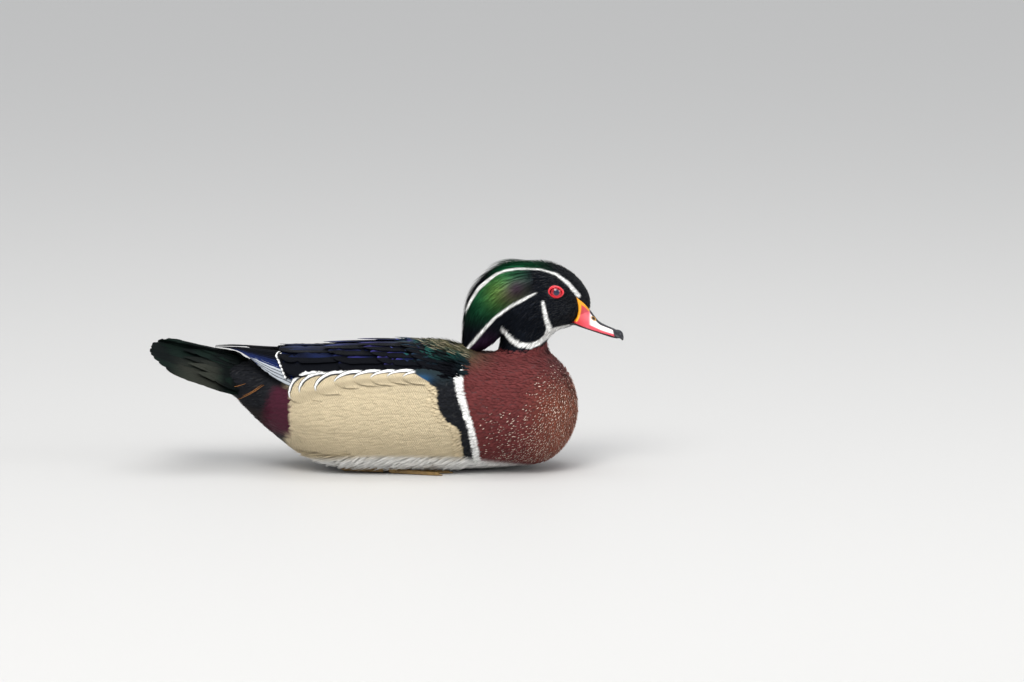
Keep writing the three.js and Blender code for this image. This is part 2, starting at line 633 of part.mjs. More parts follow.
// The vanes' common root, a blunt wedge inside the tail.
function tailRoot() {
  return roundedBody(12, 7, (t, angle) => {
    const along = THREE.MathUtils.lerp(0.02, 0.5, t);
    const reach = Math.max(0, Math.sin(Math.PI * t)) ** 0.5;
    const crown = tailSheet(along, 0);
    const brim = tailSheet(along, 0.9);
    const high = Math.cos(angle);
    const z = high > 0 ? (crown.z - 2 - brim.z) * reach * high : 3 * reach * high;
    return new THREE.Vector3(crown.x, brim.y * 0.82 * Math.sin(angle) * reach, brim.z + z);
  });
}

// Paired vanes side by side, the middle pair on top and the outer ones lower.
const tailPairs = 7;

function tailSolid() {
  const draw = seededDraws(13);
  const vanes = Array.from({ length: tailPairs * 2 }, (_, i) => {
    const pair = Math.floor(i / 2);
    const hand = i % 2 ? 1 : -1;
    const side = hand * (pair + 0.5) / (tailPairs - 0.5);
    const lift = -0.5 * pair - 0.25 * (i % 2);
    return vane(tailSheet, {
      root: [0.16, side * 0.94], tip: [0.985 + 0.012 * draw(), side], halfWidth: 4.6, lift: [lift, lift], rows: 3,
      taper: 0.5, tilt: 0.8 * hand, inside: new THREE.Vector3(-150, 0, 20), thick: 0.9, flat: true,
    });
  });
  return joined([tailRoot(), ...vanes]);
}

// Soft feathers on the rump: some lie back over the tail's root, the others under it.
function rumpFeathers(grow = 0) {
  const draw = seededDraws(5);
  const over = [0.14, 0.5].map((side) => vane(tailSheet, {
    root: [-0.34, side], tip: [0.42 + 0.02 * draw(), side * 1.1], halfWidth: 6.6, lift: [1.2, 3.2], grow,
    taper: 0.4, inside: new THREE.Vector3(-150, 0, 20), thick: 1, flat: true,
  }));
  const under = [2.35].map((angle) => vane(bodyPoint, {
    root: [-94, angle], tip: [-131 + 2 * draw(), angle], halfWidth: 9, lift: [-1.4, 1.2], grow,
    taper: 0.4, inside: new THREE.Vector3(-110, 0, 70), thick: 1, flat: true,
  }));
  const right = [...over, ...under];
  return joined([...right, ...right.map(mirrored)]);
}

function rumpSolid() {
  return restingBody.add(rumpFeathers());
}

function rumpRoom() {
  return wholeBody(gap).add(rumpFeathers(gap));
}

// Everything is built once, then parted with thin cuts.
const body = wholeBody();
const neckRaw = wholeNeck();
const headRaw = wholeHead();
const leftFoot = footSolid();
const leftShank = shankSolid();
const leftHollow = footHollow();
const aboveGround = slab(2, 0, 400);
const restingBody = body.intersect(aboveGround).subtract(leftHollow.add(mirrored(leftHollow)));

const neckSlab = slab(2, neckBaseZ, headBaseZ - gap);
const bodyAndNeck = restingBody.add(neckRaw.intersect(slab(2, 60, neckBaseZ - gap)));
const breast = bodyAndNeck.intersect(slab(0, breastCutX, 300)).subtract(slab(2, neckBaseZ - gap, 400)
  .intersect(wholeNeck(gap)));
const torso = bodyAndNeck.intersect(slab(0, rumpCutX, breastCutX - gap));

const skullRoom = wholeHead(gap);
const neck = neckRaw.intersect(neckSlab).subtract(breast);
const headBlock = headRaw.add(neckRaw.intersect(slab(2, headBaseZ, 140))).intersect(slab(2, headBaseZ, 400));
const eyeLeft = eyeSolid();
const eyeRoom = eyeSolid(gap);
const ringRoom = eyeRingSolid(gap);
const upperBill = upperBillSolid().subtract(nostrils());
const head = headBlock
  .subtract(joined([eyeRoom, ringRoom, mirrored(eyeRoom), mirrored(ringRoom)]));
const eyeRing = eyeRingSolid().subtract(eyeRoom);
const crestRaw = crestSolid();
const neckRoom = wholeNeck(gap);
const crest = crestRaw.subtract(skullRoom).subtract(neckRoom).subtract(wholeBody(gap));

const bodyRoom = wholeBody(gap);
const flankLeft = flankSolid().subtract(bodyRoom);
const flankRoom = flankSolid(gap);
const wingLeft = wingSolid().subtract(bodyRoom).subtract(flankRoom);

const looks = {
  black: { color: 0x0b0e12, roughness: 0.5 },
  crest: { color: 0x0f3a24, roughness: 0.35 },
  chestnut: { color: 0x5a1f18, roughness: 0.7 },
  tan: { color: 0xc2ab7c, roughness: 0.8 },
  white: { color: 0xe9e7e0, roughness: 0.8 },
  wing: { color: 0x141a3a, roughness: 0.4 },
  red: { color: 0xc21f1c, roughness: 0.35 },
  bill: { color: 0xd9413a, roughness: 0.4 },
  foot: { color: 0xb98a2e, roughness: 0.6 },
};

function piece(name, solid, look) {
  const mesh = new THREE.Mesh(geometryOf(solid), new THREE.MeshStandardMaterial({ ...looks[look], metalness: 0 }));
  mesh.name = name;
  return mesh;
}

const rump = rumpSolid().intersect(slab(0, -200, rumpCutX - gap)).intersect(aboveGround);
const ankleRoom = slab(0, foot.rootX - 6 - foot.shank, 300);
const leg = leftShank.subtract(ankleRoom).intersect(aboveGround);
const duck = new THREE.Group();
duck.add(
  piece('torso', torso, 'black'),
  piece('breast', breast, 'chestnut'),
  piece('rump', rump, 'black'),
  piece('tail', tailSolid().subtract(rumpRoom()), 'black'),
  piece('neck', neck, 'black'),
  piece('head', head, 'black'),
  piece('crest', crest, 'crest'),
  piece('upper_bill', upperBill.subtract(skullRoom), 'bill'),
  piece('lower_bill', lowerBillSolid().subtract(skullRoom), 'black'),
  piece('eye_left', eyeLeft, 'red'),
  piece('eye_right', mirrored(eyeLeft), 'red'),
  piece('eye_ring_left', eyeRing, 'red'),
  piece('eye_ring_right', mirrored(eyeRing), 'red'),
  piece('flank_left', flankLeft, 'tan'),
  piece('flank_right', mirrored(flankLeft), 'tan'),
  piece('wing_left', wingLeft, 'wing'),
  piece('wing_right', mirrored(wingLeft), 'wing'),
  piece('leg_left', leg, 'foot'),
  piece('leg_right', mirrored(leg), 'foot'),
  piece('foot_left', leftFoot.intersect(aboveGround), 'foot'),
  piece('foot_right', mirrored(leftFoot.intersect(aboveGround)), 'foot'),
);

// The bird was built round its body, so it is moved along to stand centred over the origin.
const extent = new THREE.Box3().setFromObject(duck);
duck.children.forEach((mesh) => mesh.geometry.translate(-(extent.min.x + extent.max.x) / 2, 0, 0));

export default duck;
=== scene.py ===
import math

import bpy
import numpy as np
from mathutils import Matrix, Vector
from mathutils.bvhtree import BVHTree


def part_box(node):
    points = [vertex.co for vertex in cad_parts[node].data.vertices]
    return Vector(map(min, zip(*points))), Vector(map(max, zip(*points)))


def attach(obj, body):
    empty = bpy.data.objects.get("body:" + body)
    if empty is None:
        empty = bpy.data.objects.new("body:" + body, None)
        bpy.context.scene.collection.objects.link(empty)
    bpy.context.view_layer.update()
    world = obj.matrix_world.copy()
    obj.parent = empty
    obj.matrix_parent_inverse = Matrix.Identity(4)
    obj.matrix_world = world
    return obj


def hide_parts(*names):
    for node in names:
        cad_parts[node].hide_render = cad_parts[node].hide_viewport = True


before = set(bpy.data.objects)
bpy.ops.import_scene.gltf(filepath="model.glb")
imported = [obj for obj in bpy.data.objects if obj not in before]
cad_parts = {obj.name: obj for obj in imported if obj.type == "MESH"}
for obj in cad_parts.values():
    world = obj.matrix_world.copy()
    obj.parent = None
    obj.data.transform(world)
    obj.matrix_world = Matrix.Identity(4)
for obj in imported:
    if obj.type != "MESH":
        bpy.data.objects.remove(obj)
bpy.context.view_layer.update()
mm = 0.001

# The bird is shaped in millimetres from its own mark: its breast reaches 153 mm forward of it.
breastReach = 153.0
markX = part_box("breast")[1][0] - breastReach * mm

feathering = {
    "bodyDepth": 2.0,                             # how deep the body's coat is, from skin to outline
    "headDepth": 1.0,
    "neckDepth": 1.2,
    "voxel": 1.5,                                 # fineness of the skin
    "smoothing": 10,
    "crestInset": 1.6,                            # how far the skin lies under the crest, wings and flanks
    "wingInset": 2.4,
    "flankInset": 1.9,
    "lowest": 0.9,                                # the skin's lowest height over the floor
    "patch": 0.003,                               # a feather's size on its coat's sheet
}


def smoothLine(knots):
    # a smooth curve through [place, value] knots, never past them
    x, y = np.array(knots, float).T
    h = np.diff(x)
    d = np.diff(y) / h
    product, total = d[:-1] * d[1:], d[:-1] + d[1:]
    bend = np.where(product > 0, 2 * product / np.where(product > 0, total, 1), 0)
    m = np.concatenate([d[:1], bend, d[-1:]])

    def at(q):
        q = np.asarray(q, float)
        i = np.clip(np.searchsorted(x, q) - 1, 0, len(h) - 1)
        t = np.clip((q - x[i]) / h[i], 0, 1)
        rise, a, b = y[i + 1] - y[i], m[i] * h[i], m[i + 1] * h[i]
        return y[i] + t * (a + t * (3 * rise - 2 * a - b + t * (a + b - 2 * rise)))
    return at


def smoothLines(table):
    return {name: smoothLine(knots) for name, knots in table.items() if isinstance(knots, list)}


def splineThrough(points):
    # an even curve through points, read by a share 0 to 1 of their count
    p = np.array(points, float)
    p = np.vstack([2 * p[0] - p[1], p, 2 * p[-1] - p[-2]])

    def at(t):
        t = np.clip(np.asarray(t, float), 0, 1) * (len(p) - 3)
        i = np.minimum(t.astype(int), len(p) - 4)
        f = (t - i)[..., None]
        a, b, c, d = p[i], p[i + 1], p[i + 2], p[i + 3]
        return 0.5 * (2 * b + (c - a) * f + (2 * a - 5 * b + 4 * c - d) * f ** 2
                      + (3 * b - a - 3 * c + d) * f ** 3)
    return at


def softStep(x, low, high):
    t = np.clip((np.asarray(x, float) - low) / (high - low), 0, 1)
    return t * t * (3 - 2 * t)


def roundedEnd(x, start, end):
    t = np.clip((x - start) / (end - start), 0, 1)
    return np.sqrt(np.maximum(0, 1 - t * t))


def signedPower(v, power):
    return np.sign(v) * np.abs(v) ** power


def unit(v):
    return v / np.maximum(np.linalg.norm(v, axis=-1, keepdims=True), 1e-9)


def mix(a, b, t):
    return a + (b - a) * t


def wave(v):
    return 0.5 + 0.5 * np.sin(v)


def joined(*values):
    # numbers of any fitting shapes set side by side, as the last axis
    return np.stack(np.broadcast_arrays(*values), -1).astype(float)


# Heights and half widths of the body along its length, as in the solids.
body = {
    "top": [[-140, 86], [-125, 88], [-110, 88.5], [-90, 89], [-70, 91.5], [-45, 95], [-15, 98], [15, 100],
            [45, 100.5], [60, 99], [75, 94.5], [90, 94], [110, 98], [153, 101]],
    "middle": [[-140, 79], [-125, 75], [-110, 69], [-90, 61], [-70, 54], [-45, 50], [-15, 48], [45, 47],
               [153, 48]],
    "keel": [[-140, 70], [-125, 57], [-110, 44], [-90, 26], [-70, 11], [-45, 1.5], [-15, -1.4], [45, -1.5],
             [75, -1.2], [110, 1], [153, 0]],
    "half": [[-140, 13], [-125, 21], [-110, 29], [-90, 40], [-70, 50.5], [-45, 58.5], [-15, 62], [15, 63],
             [45, 62], [60, 60], [75, 58.5], [90, 56.5], [110, 54], [130, 52], [153, 50]],
    "front": (108, breastReach),                  # where the front starts to round, and its end
    "rear": (-104, -140.0),
    "powers": (0.9, 0.96, 0.9),                   # fullness above, below and to the sides
}
head = {
    "top": [[78, 162], [92, 164.5], [104, 165.6], [123, 166.4], [136, 164.8], [151, 163.2], [163, 159]],
    "middle": [[78, 128], [110, 124], [136, 126], [145, 128], [155, 131], [163, 133.5]],
    "keel": [[78, 104], [95, 100], [118, 98.5], [128, 103.5], [136, 110.2], [145, 110.6], [163, 110]],
    "half": [[78, 16], [95, 19], [118, 20.5], [134, 20], [143, 19], [155, 16], [163, 14]],
    "front": (128, 163.0),
    "rear": (108, 80.0),
    "powers": (1.02, 0.92, 1.02),
}
neck = {
    "back": [[70, 78], [85, 84], [95, 87.5], [106, 89], [116, 88]],
    "front": [[70, 140], [85, 134], [95, 129], [101, 127.8], [106, 129.5], [116, 134]],
    "half": [[70, 31], [85, 27], [95, 22.5], [101, 20.6], [116, 19.5]],
}
shell = {                                         # the sheet that the folded wings lie on
    "top": [[-140, 98], [-120, 98.6], [-90, 98], [-61, 98.6], [-30, 100.8], [0, 102.4], [28, 103], [48, 102],
            [66, 97.6]],
    "middle": [[-140, 97], [-120, 91], [-105, 81], [-77, 60], [-45, 50], [0, 47], [66, 47]],
    "half": [[-140, 13], [-120, 24], [-105, 35], [-77, 50.5], [-45, 61], [-15, 64.6], [28, 65], [66, 62]],
}
crest = {                                         # outer and inner line in side view, and the half width
    "outer": [[116, 166.6], [101, 166.8], [88, 164.2], [77, 157.2], [67.6, 146.4], [62, 134], [59.8, 119],
              [59.2, 104], [60.4, 92.8]],
    "inner": [[116, 140], [108, 128], [98, 115.5], [89.5, 106.5], [84, 101.2], [77, 96.2], [63, 92.8]],
    "half": [[0, 18.6], [0.25, 18.4], [0.5, 15], [0.75, 10.5], [1, 4.6]],
}
tail = {
    "tips": [[0, -180, 102.6], [0.22, -187, 100], [0.4, -188.4, 97], [0.62, -186, 94.6], [0.82, -181, 91.4],
             [1, -174, 87]],                      # the feathers' tips as [side, x, height]
    "rootX": -110.0,
    "rootHigh": 86.5,
    "rootLow": 66.0,
    "rootHalf": 15.0,
    "spread": 32.0,
}
bodyLine, headLine, neckLine, shellLine = [smoothLines(part) for part in (body, head, neck, shell)]
crestHalf = smoothLine(crest["half"])
crestOuter, crestInner = splineThrough(crest["outer"]), splineThrough(crest["inner"])
tailTipX = smoothLine([[side, x] for side, x, z in tail["tips"]])
tailTipZ = smoothLine([[side, z] for side, x, z in tail["tips"]])


def barrel(part, line, x, grow=0.0):
    # what is left of a part's full size near its ends, its middle, and its reach up and down from there
    full = roundedEnd(x, part["front"][0], part["front"][1] + grow)
    full = full * roundedEnd(x, part["rear"][0], part["rear"][1] - grow)
    middle = line["middle"](x)
    return full, middle, (line["top"](x) - middle) * full + grow, (middle - line["keel"](x)) * full + grow


def barrelPoint(part, line, x, angle, grow=0.0):
    full, middle, up, down = barrel(part, line, x, grow)
    above, below, aside = part["powers"]
    high = np.cos(angle)
    z = middle + np.where(high > 0, up * np.abs(high) ** above, -down * np.abs(high) ** below)
    return joined(x, (line["half"](x) * full + grow) * signedPower(np.sin(angle), aside), z)


def barrelSide(part, line, x, z, above=1.0, below=1.0):
    # how far out a part's side stands at a height
    full, middle, up, down = barrel(part, line, x)
    off = np.abs(z - middle)
    high = np.clip(np.where(z > middle, (off / up) ** above, (off / down) ** below), 0, 1)
    return line["half"](x) * full * np.sqrt(1 - high ** 2)


def bodyPoint(x, angle, grow=0.0):
    return barrelPoint(body, bodyLine, x, angle, grow)


def neckPoint(z, angle, grow=0.0):
    back, front = neckLine["back"](z), neckLine["front"](z)
    x = (back + front) / 2 + np.cos(angle) * ((front - back) / 2 + grow)
    return joined(x, np.sin(angle) * (neckLine["half"](z) + grow), z)


def shellPoint(x, angle, grow=0.0):
    middle = shellLine["middle"](x)
    z = middle + (shellLine["top"](x) - middle + grow) * signedPower(np.cos(angle), 0.9)
    return joined(x, (shellLine["half"](x) + grow) * signedPower(np.sin(angle), 0.9), z)


def crestPoint(along, band, grow=0.0):
    # band 0 is the crest's back edge and 1 its front edge, on the left side
    t = np.clip(along, 0, 1)
    side = mix(crestOuter(t), crestInner(t), np.asarray(band, float)[..., None])
    rounding = np.sin(np.clip(np.maximum(0.02, band) / 0.62, 0, 1) * math.pi / 2) ** 0.8
    y = crestHalf(t) * rounding * (1 - 0.3 * np.maximum(0, (np.asarray(band) - 0.62) / 0.38) ** 2) + grow
    return joined(side[..., 0], y, side[..., 1])


def flankPoint(x, angle, grow=0.0):
    overWing = softStep(1.35 - np.asarray(angle), 0, 0.45)
    return bodyPoint(x, angle, 0.6 + 3.2 * overWing + grow)


def tailPoint(along, side, grow=0.0):
    far = np.minimum(1, np.abs(side))
    spread = tail["rootHalf"] * far * (1 - along) + tail["spread"] * far ** 1.15 * np.maximum(0, along) ** 0.9
    z = mix(mix(tail["rootHigh"], tail["rootLow"], far ** 1.6), tailTipZ(far), along) + grow
    return joined(mix(tail["rootX"], tailTipX(far), along), np.sign(side) * spread, z)


def toRow(points):
    # bird millimetres to metres in the row's frame, never under the ground
    p = np.array(points, float) * mm
    p[..., 0] += markX
    p[..., 2] = np.maximum(p[..., 2], 0.0001)
    return p


def toBird(points):
    p = np.array(points, float)
    p[..., 0] -= markX
    return p / mm


# Markings: boundaries and white lines, in the bird's side view.
paint = {
    "white": (0.88, 0.88, 0.86), "black": (0.010, 0.011, 0.014), "ink": (0.006, 0.0075, 0.011),
    "chestnut": (0.130, 0.030, 0.030), "rust": (0.260, 0.080, 0.044), "tan": (0.60, 0.50, 0.33),
    "olive": (0.085, 0.078, 0.040), "teal": (0.012, 0.026, 0.031), "blue": (0.015, 0.110, 0.270),
    "burgundy": (0.055, 0.009, 0.021), "umber": (0.020, 0.014, 0.011), "green": (0.006, 0.078, 0.030),
    "leaf": (0.058, 0.118, 0.018), "purple": (0.040, 0.012, 0.040), "silver": (0.40, 0.43, 0.47),
    "grey": (0.46, 0.47, 0.48),
    # bill and eyes
    "billBlack": (0.012, 0.013, 0.018), "yellow": (0.90, 0.36, 0.004), "red": (0.62, 0.028, 0.040),
    "pink": (0.70, 0.075, 0.105), "pale": (0.92, 0.84, 0.82), "nostrilRim": (0.60, 0.28, 0.02),
    "eyeDark": (0.012, 0.006, 0.008), "pupil": (0.010, 0.016, 0.045), "iris": (0.50, 0.010, 0.020),
    "ring": (0.72, 0.012, 0.030), "ringEdge": (0.85, 0.13, 0.12),
    # wings, tail and rump
    "sheenBlue": (0.016, 0.036, 0.170), "violet": (0.085, 0.075, 0.380), "sea": (0.020, 0.110, 0.095),
    "darkWeb": (0.0045, 0.005, 0.007), "tailDark": (0.006, 0.008, 0.008), "tailGreen": (0.009, 0.018, 0.014),
    "tailHighlightGrey": (0.034, 0.036, 0.029), "hair": (0.46, 0.20, 0.06),
}
paint = {name: np.array(value) for name, value in paint.items()}
marks = {
    "barBack": [[0, 70], [39, 64], [54, 59], [70, 54.5], [85, 52.5], [90, 53.5]],     # [height, x]
    "barFront": [[0, 76], [42, 68.5], [60, 63.2], [76, 60], [85, 60.5], [90, 58.5]],
    "blackBack": [[0, 62], [39, 57], [47, 47], [60, 40], [71, 39.5], [77, 33], [84, 22]],
    "face": [[112, 147], [117, 148.4], [119, 149.4], [123, 151.2], [129, 152], [135, 151.2], [139.8, 149.8]],
    "barTop": 88.5,
    "neckRing": [[80, 97.5], [88, 97.5], [105, 97], [118, 99], [128, 104], [140, 110]],   # [x, height]
    "headEnd": [[52, 150], [56, 116], [60, 101], [66, 99.5], [76, 98.5], [88, 98], [105, 98.3], [118, 99.5],
                [128, 104], [140, 109], [170, 112]],
    "belly": [[-95, 8], [-60, 11], [0, 15], [60, 13], [90, 8], [120, 2], [150, 0]],
    "mantle": [[20, 104], [42, 100], [58, 95], [66, 92.5], [90, 92]],
    "ridge": [[147, 140.6], [149, 139.8], [152, 137.4], [157, 132.8], [161.5, 126.8], [168.7, 117.8]],
    "eye": [[56, 88], [60, 93], [68, 102], [75, 110.6], [86.4, 123.6], [98.6, 132.6], [111.8, 139.6],
            [118, 142.8], [135, 149]],
    "brow": [[60, 122], [67, 136.5], [73, 145.6], [80.4, 152], [86.4, 156.6], [94.5, 159.8], [103, 161.2],
             [122, 160.6], [134, 157], [143.5, 149.8], [152, 139.5]],
}
markLine = smoothLines(marks)
whiteLines = [                                    # [x, height, width] along each
    # brow line, from the bill over the crown and down the back of the crest
    [(152, 139.5, 3.2), (143.5, 149.8, 2.9), (134, 157, 1.7), (122, 160.6, 1.2), (103, 161.2, 1.2),
     (94.5, 159.8, 1.4), (86.4, 156.6, 1.8), (80.4, 152, 2.1), (73, 145.6, 2.3), (67, 136.5, 2.1),
     (62, 126, 1.3)],
    # line behind the eye, down to the crest's tip
    [(118, 142.8, 0.9), (111.8, 139.6, 1.9), (104.7, 135.6, 2.4), (98.6, 132.6, 2.2), (92.6, 128.3, 2.1),
     (86.4, 123.6, 2.1), (80.4, 117, 2.2), (75, 110.6, 2.3), (68, 102, 2.4), (60.4, 93, 2.0)],
    # cheek prong
    [(123.4, 135.6, 2.4), (124.6, 129, 3.2), (126.2, 121, 3.4), (128.6, 114.5, 4.6), (127.8, 108, 6.4)],
    # throat to the mouth's corner
    [(128, 110, 5.4), (133, 112.6, 4.0), (140, 114.6, 2.4), (147, 116.4, 1.0)],
    # collar crescent
    [(90.8, 115, 1.4), (93.5, 110, 3.2), (98.6, 104.6, 3.6), (105, 101.4, 4.0), (113, 100.4, 4.0),
     (121, 102.6, 4.2), (127.2, 107.4, 5.4)],
]


def strokeCover(x, z, stroke, soft=0.5):
    # how far each place lies on a white line: 1 on it, 0 off it
    best = np.full(np.shape(x), 99.0)
    for (ax, az, aw), (bx, bz, bw) in zip(stroke, stroke[1:]):
        dx, dz = bx - ax, bz - az
        t = np.clip(((x - ax) * dx + (z - az) * dz) / (dx * dx + dz * dz), 0, 1)
        best = np.minimum(best, np.hypot(x - ax - t * dx, z - az - t * dz) - mix(aw, bw, t) / 2)
    return 1 - softStep(best, -soft, soft)


def layered(tint, layers):
    # colours laid over a first one, each by its share
    for colour, share in layers:
        share = np.asarray(share, float)[..., None]
        tint = tint + ((paint[colour] if isinstance(colour, str) else colour) - tint) * share
    return tint


def glow(x, z, middle, reach):
    return np.exp(-((x - middle[0]) / reach[0]) ** 2 - ((z - middle[1]) / reach[1]) ** 2)


def headTint(p):
    x, z = p[..., 0], p[..., 2]
    overBrow = softStep(z - markLine["brow"](x), -1, 1)
    overEye = z - markLine["eye"](x)
    between = (1 - overBrow) * softStep(overEye, -1, 3)
    chin = 110.8 + (x - 126) * 0.25
    return layered(paint["ink"], [
        # painted sheen: the crown's green and the green, leaf, olive and purple glows between brow and eye
        # are the feathers' own iridescence, laid where the light catches it
        ("green", overBrow * softStep(x, 76, 92) * (1 - softStep(x, 106, 136))),
        ("green", 0.9 * between * (1 - softStep(x, 92, 117)) * softStep(z, 108, 140)),
        ("leaf", 0.75 * between * glow(x, z, (88, 142), (12, 13))),
        ("olive", 0.75 * between * glow(x, z, (98, 140), (11, 8))),
        ("purple", 0.75 * between * glow(x, z, (102, 146), (8, 8))),
        ("purple", 0.55 * softStep(-overEye, -3, 4) * softStep(112 - z, -6, 14) * softStep(92 - x, 0, 10)),
        ("grey", 0.9 * softStep(x, 125.5, 128.5) * (1 - softStep(z - chin, -0.5, 0.8))),
    ] + [("white", strokeCover(x, z, stroke)) for stroke in whiteLines])


def bodyTint(p):
    x, z = p[..., 0], p[..., 2]
    line = {name: markLine[name](z) - x for name in ("barFront", "barBack", "blackBack")}
    back = softStep(z - markLine["mantle"](x), -1.5, 2.5) * softStep(70 - x, -4, 8)
    flank = softStep(line["blackBack"], -0.6, 0.6) * (1 - softStep(z, 80, 84))
    wine = softStep(-76 - x, 0, 2) * softStep(x + 0.42 * (70 - z), -94, -86) * softStep(z, 26, 36)
    belly = (1 - softStep(z - markLine["belly"](x), -3, 4)) * softStep(x, -100, -88)
    bar = 1 - softStep(z, marks["barTop"] - 1, marks["barTop"] + 1)
    tint = layered(paint["chestnut"], [
        ("rust", 0.85 * softStep(x, 100, 150) * softStep(88 - z, 0, 34)),
        ("olive", 0.75 * softStep(92 - x, 0, 30) * softStep(z, 80, 96)),
        ("olive", 0.9 * back * (x > 20)),
        ("white", bar * softStep(line["barFront"], -0.6, 0.6)),
        ("black", softStep(line["barBack"], -0.6, 0.6)),
        ("teal", 0.85 * softStep(z, 70, 88) * softStep(line["barBack"], 0, 4)),
        ("blue", 0.8 * glow(x, z, (27, 79), (7, 3.4))),
        ("tan", flank * softStep(x + 1.3 * np.sin(z * 0.8), -84, -79)),
        ("black", softStep(-80 - x, -2, 6)),
        ("burgundy", wine * (1 - softStep(z, 68, 74))),
        ("umber", 0.8 * softStep(-92 - x, 0, 12) * (1 - softStep(z, 44, 56))),
        ("white", 0.95 * belly),
    ])
    ring = softStep(z - markLine["neckRing"](x), -0.6, 0.6) * softStep(x, 78, 84)
    return layered(tint, [(headTint(p), ring)])


def addObject(name, data):
    piece = bpy.data.objects.new(name, data)
    bpy.context.scene.collection.objects.link(piece)
    return piece


def setPoints(mesh, points):
    mesh.vertices.foreach_set("co", toRow(points).astype(np.float32).ravel())


def meshPiece(name, points, quads, tris=(), values=None, sheet=None):
    # a mesh object from points in bird millimetres, their values and their places on the sheet
    points = np.reshape(points, (-1, 3))
    quads, tris = np.reshape(quads, (-1, 4)), np.reshape(tris, (-1, 3))
    corners = np.concatenate([quads.ravel(), tris.ravel()]).astype(np.int32)
    sizes = np.concatenate([np.full(len(quads), 4), np.full(len(tris), 3)])
    mesh = bpy.data.meshes.new(name)
    mesh.vertices.add(len(points))
    setPoints(mesh, points)
    mesh.loops.add(len(corners))
    mesh.loops.foreach_set("vertex_index", corners)
    mesh.polygons.add(len(sizes))
    mesh.polygons.foreach_set("loop_start", np.concatenate([[0], np.cumsum(sizes)[:-1]]).astype(np.int32))
    mesh.polygons.foreach_set("use_smooth", np.full(len(sizes), True))
    for label, value in (values or {}).items():
        addValue(mesh, label, value)
    if sheet is not None:
        places = np.reshape(sheet, (-1, 2))[corners]
        mesh.uv_layers.new(name="OFBake").data.foreach_set("uv", places.astype(np.float32).ravel())
    mesh.update(calc_edges=True)
    mesh.validate()
    return addObject(name, mesh)


def addValue(mesh, label, value):
    # a colour with its gloss, or three plain numbers, on every point
    kind, key = ("FLOAT_COLOR", "color") if value.shape[-1] == 4 else ("FLOAT_VECTOR", "vector")
    mesh.attributes.new(label, kind, "POINT").data.foreach_set(key, value.astype(np.float32).ravel())


def dress(piece, finish, slotName, *nodes):
    # finish, slot (not used), body and the CAD nodes that the piece stands for
    piece.data.materials.clear()
    piece.data.materials.append(finish.material)
    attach(piece, "root")
    if nodes:
        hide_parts(*nodes)


def withGloss(tint, gloss=0.0):
    return np.concatenate([tint, np.broadcast_to(np.asarray(gloss, float), tint.shape[:-1])[..., None]], -1)


def gridQuads(rows, columns, sheets=1, around=False):
    # the faces of sheets of points in rows, open or closed round on themselves
    i = np.arange(rows - 1)[:, None] * columns
    j = np.arange(columns if around else columns - 1)
    k = (j + 1) % columns
    one = np.stack([i + j, i + k, i + columns + k, i + columns + j], -1).reshape(-1, 4)
    return (np.arange(sheets)[:, None, None] * rows * columns + one).reshape(-1, 4)


def closedLoft(rings):
    # one closed body from rings of points, its ends closed at their middles
    count, sides = rings.shape[:2]
    points = np.concatenate([rings.reshape(-1, 3), rings[:1].mean(1), rings[-1:].mean(1)])
    j = np.arange(sides)
    k = (j + 1) % sides
    last = (count - 1) * sides
    start = np.stack([k, j, np.full(sides, count * sides)], -1)
    end = np.stack([last + j, last + k, np.full(sides, count * sides + 1)], -1)
    return points, gridQuads(count, sides, around=True), np.concatenate([start, end])


def eased(start, end, count):
    # stations set closer at both ends
    return mix(start, end, (1 - np.cos(np.linspace(0, math.pi, count))) / 2)


def fused(name, parts, voxel, smoothing):
    # the parts melted into one closed skin
    base = np.cumsum([0] + [len(part[0]) for part in parts])
    points = np.concatenate([part[0] for part in parts])
    quads, tris = [np.concatenate([part[k] + b for part, b in zip(parts, base)]) for k in (1, 2)]
    piece = meshPiece(name, points, quads, tris)
    melt = piece.modifiers.new("Melt", "REMESH")
    melt.mode = "VOXEL"
    melt.voxel_size = voxel * mm
    melt.use_smooth_shade = True
    ease = piece.modifiers.new("Ease", "SMOOTH")
    ease.iterations = smoothing
    mesh = bpy.data.meshes.new_from_object(piece.evaluated_get(bpy.context.evaluated_depsgraph_get()))
    piece.modifiers.clear()
    old = piece.data
    piece.data = mesh
    bpy.data.meshes.remove(old)
    return piece


def pointsOf(piece):
    co = np.empty(len(piece.data.vertices) * 3, np.float32)
    piece.data.vertices.foreach_get("co", co)
    return toBird(co.reshape(-1, 3))


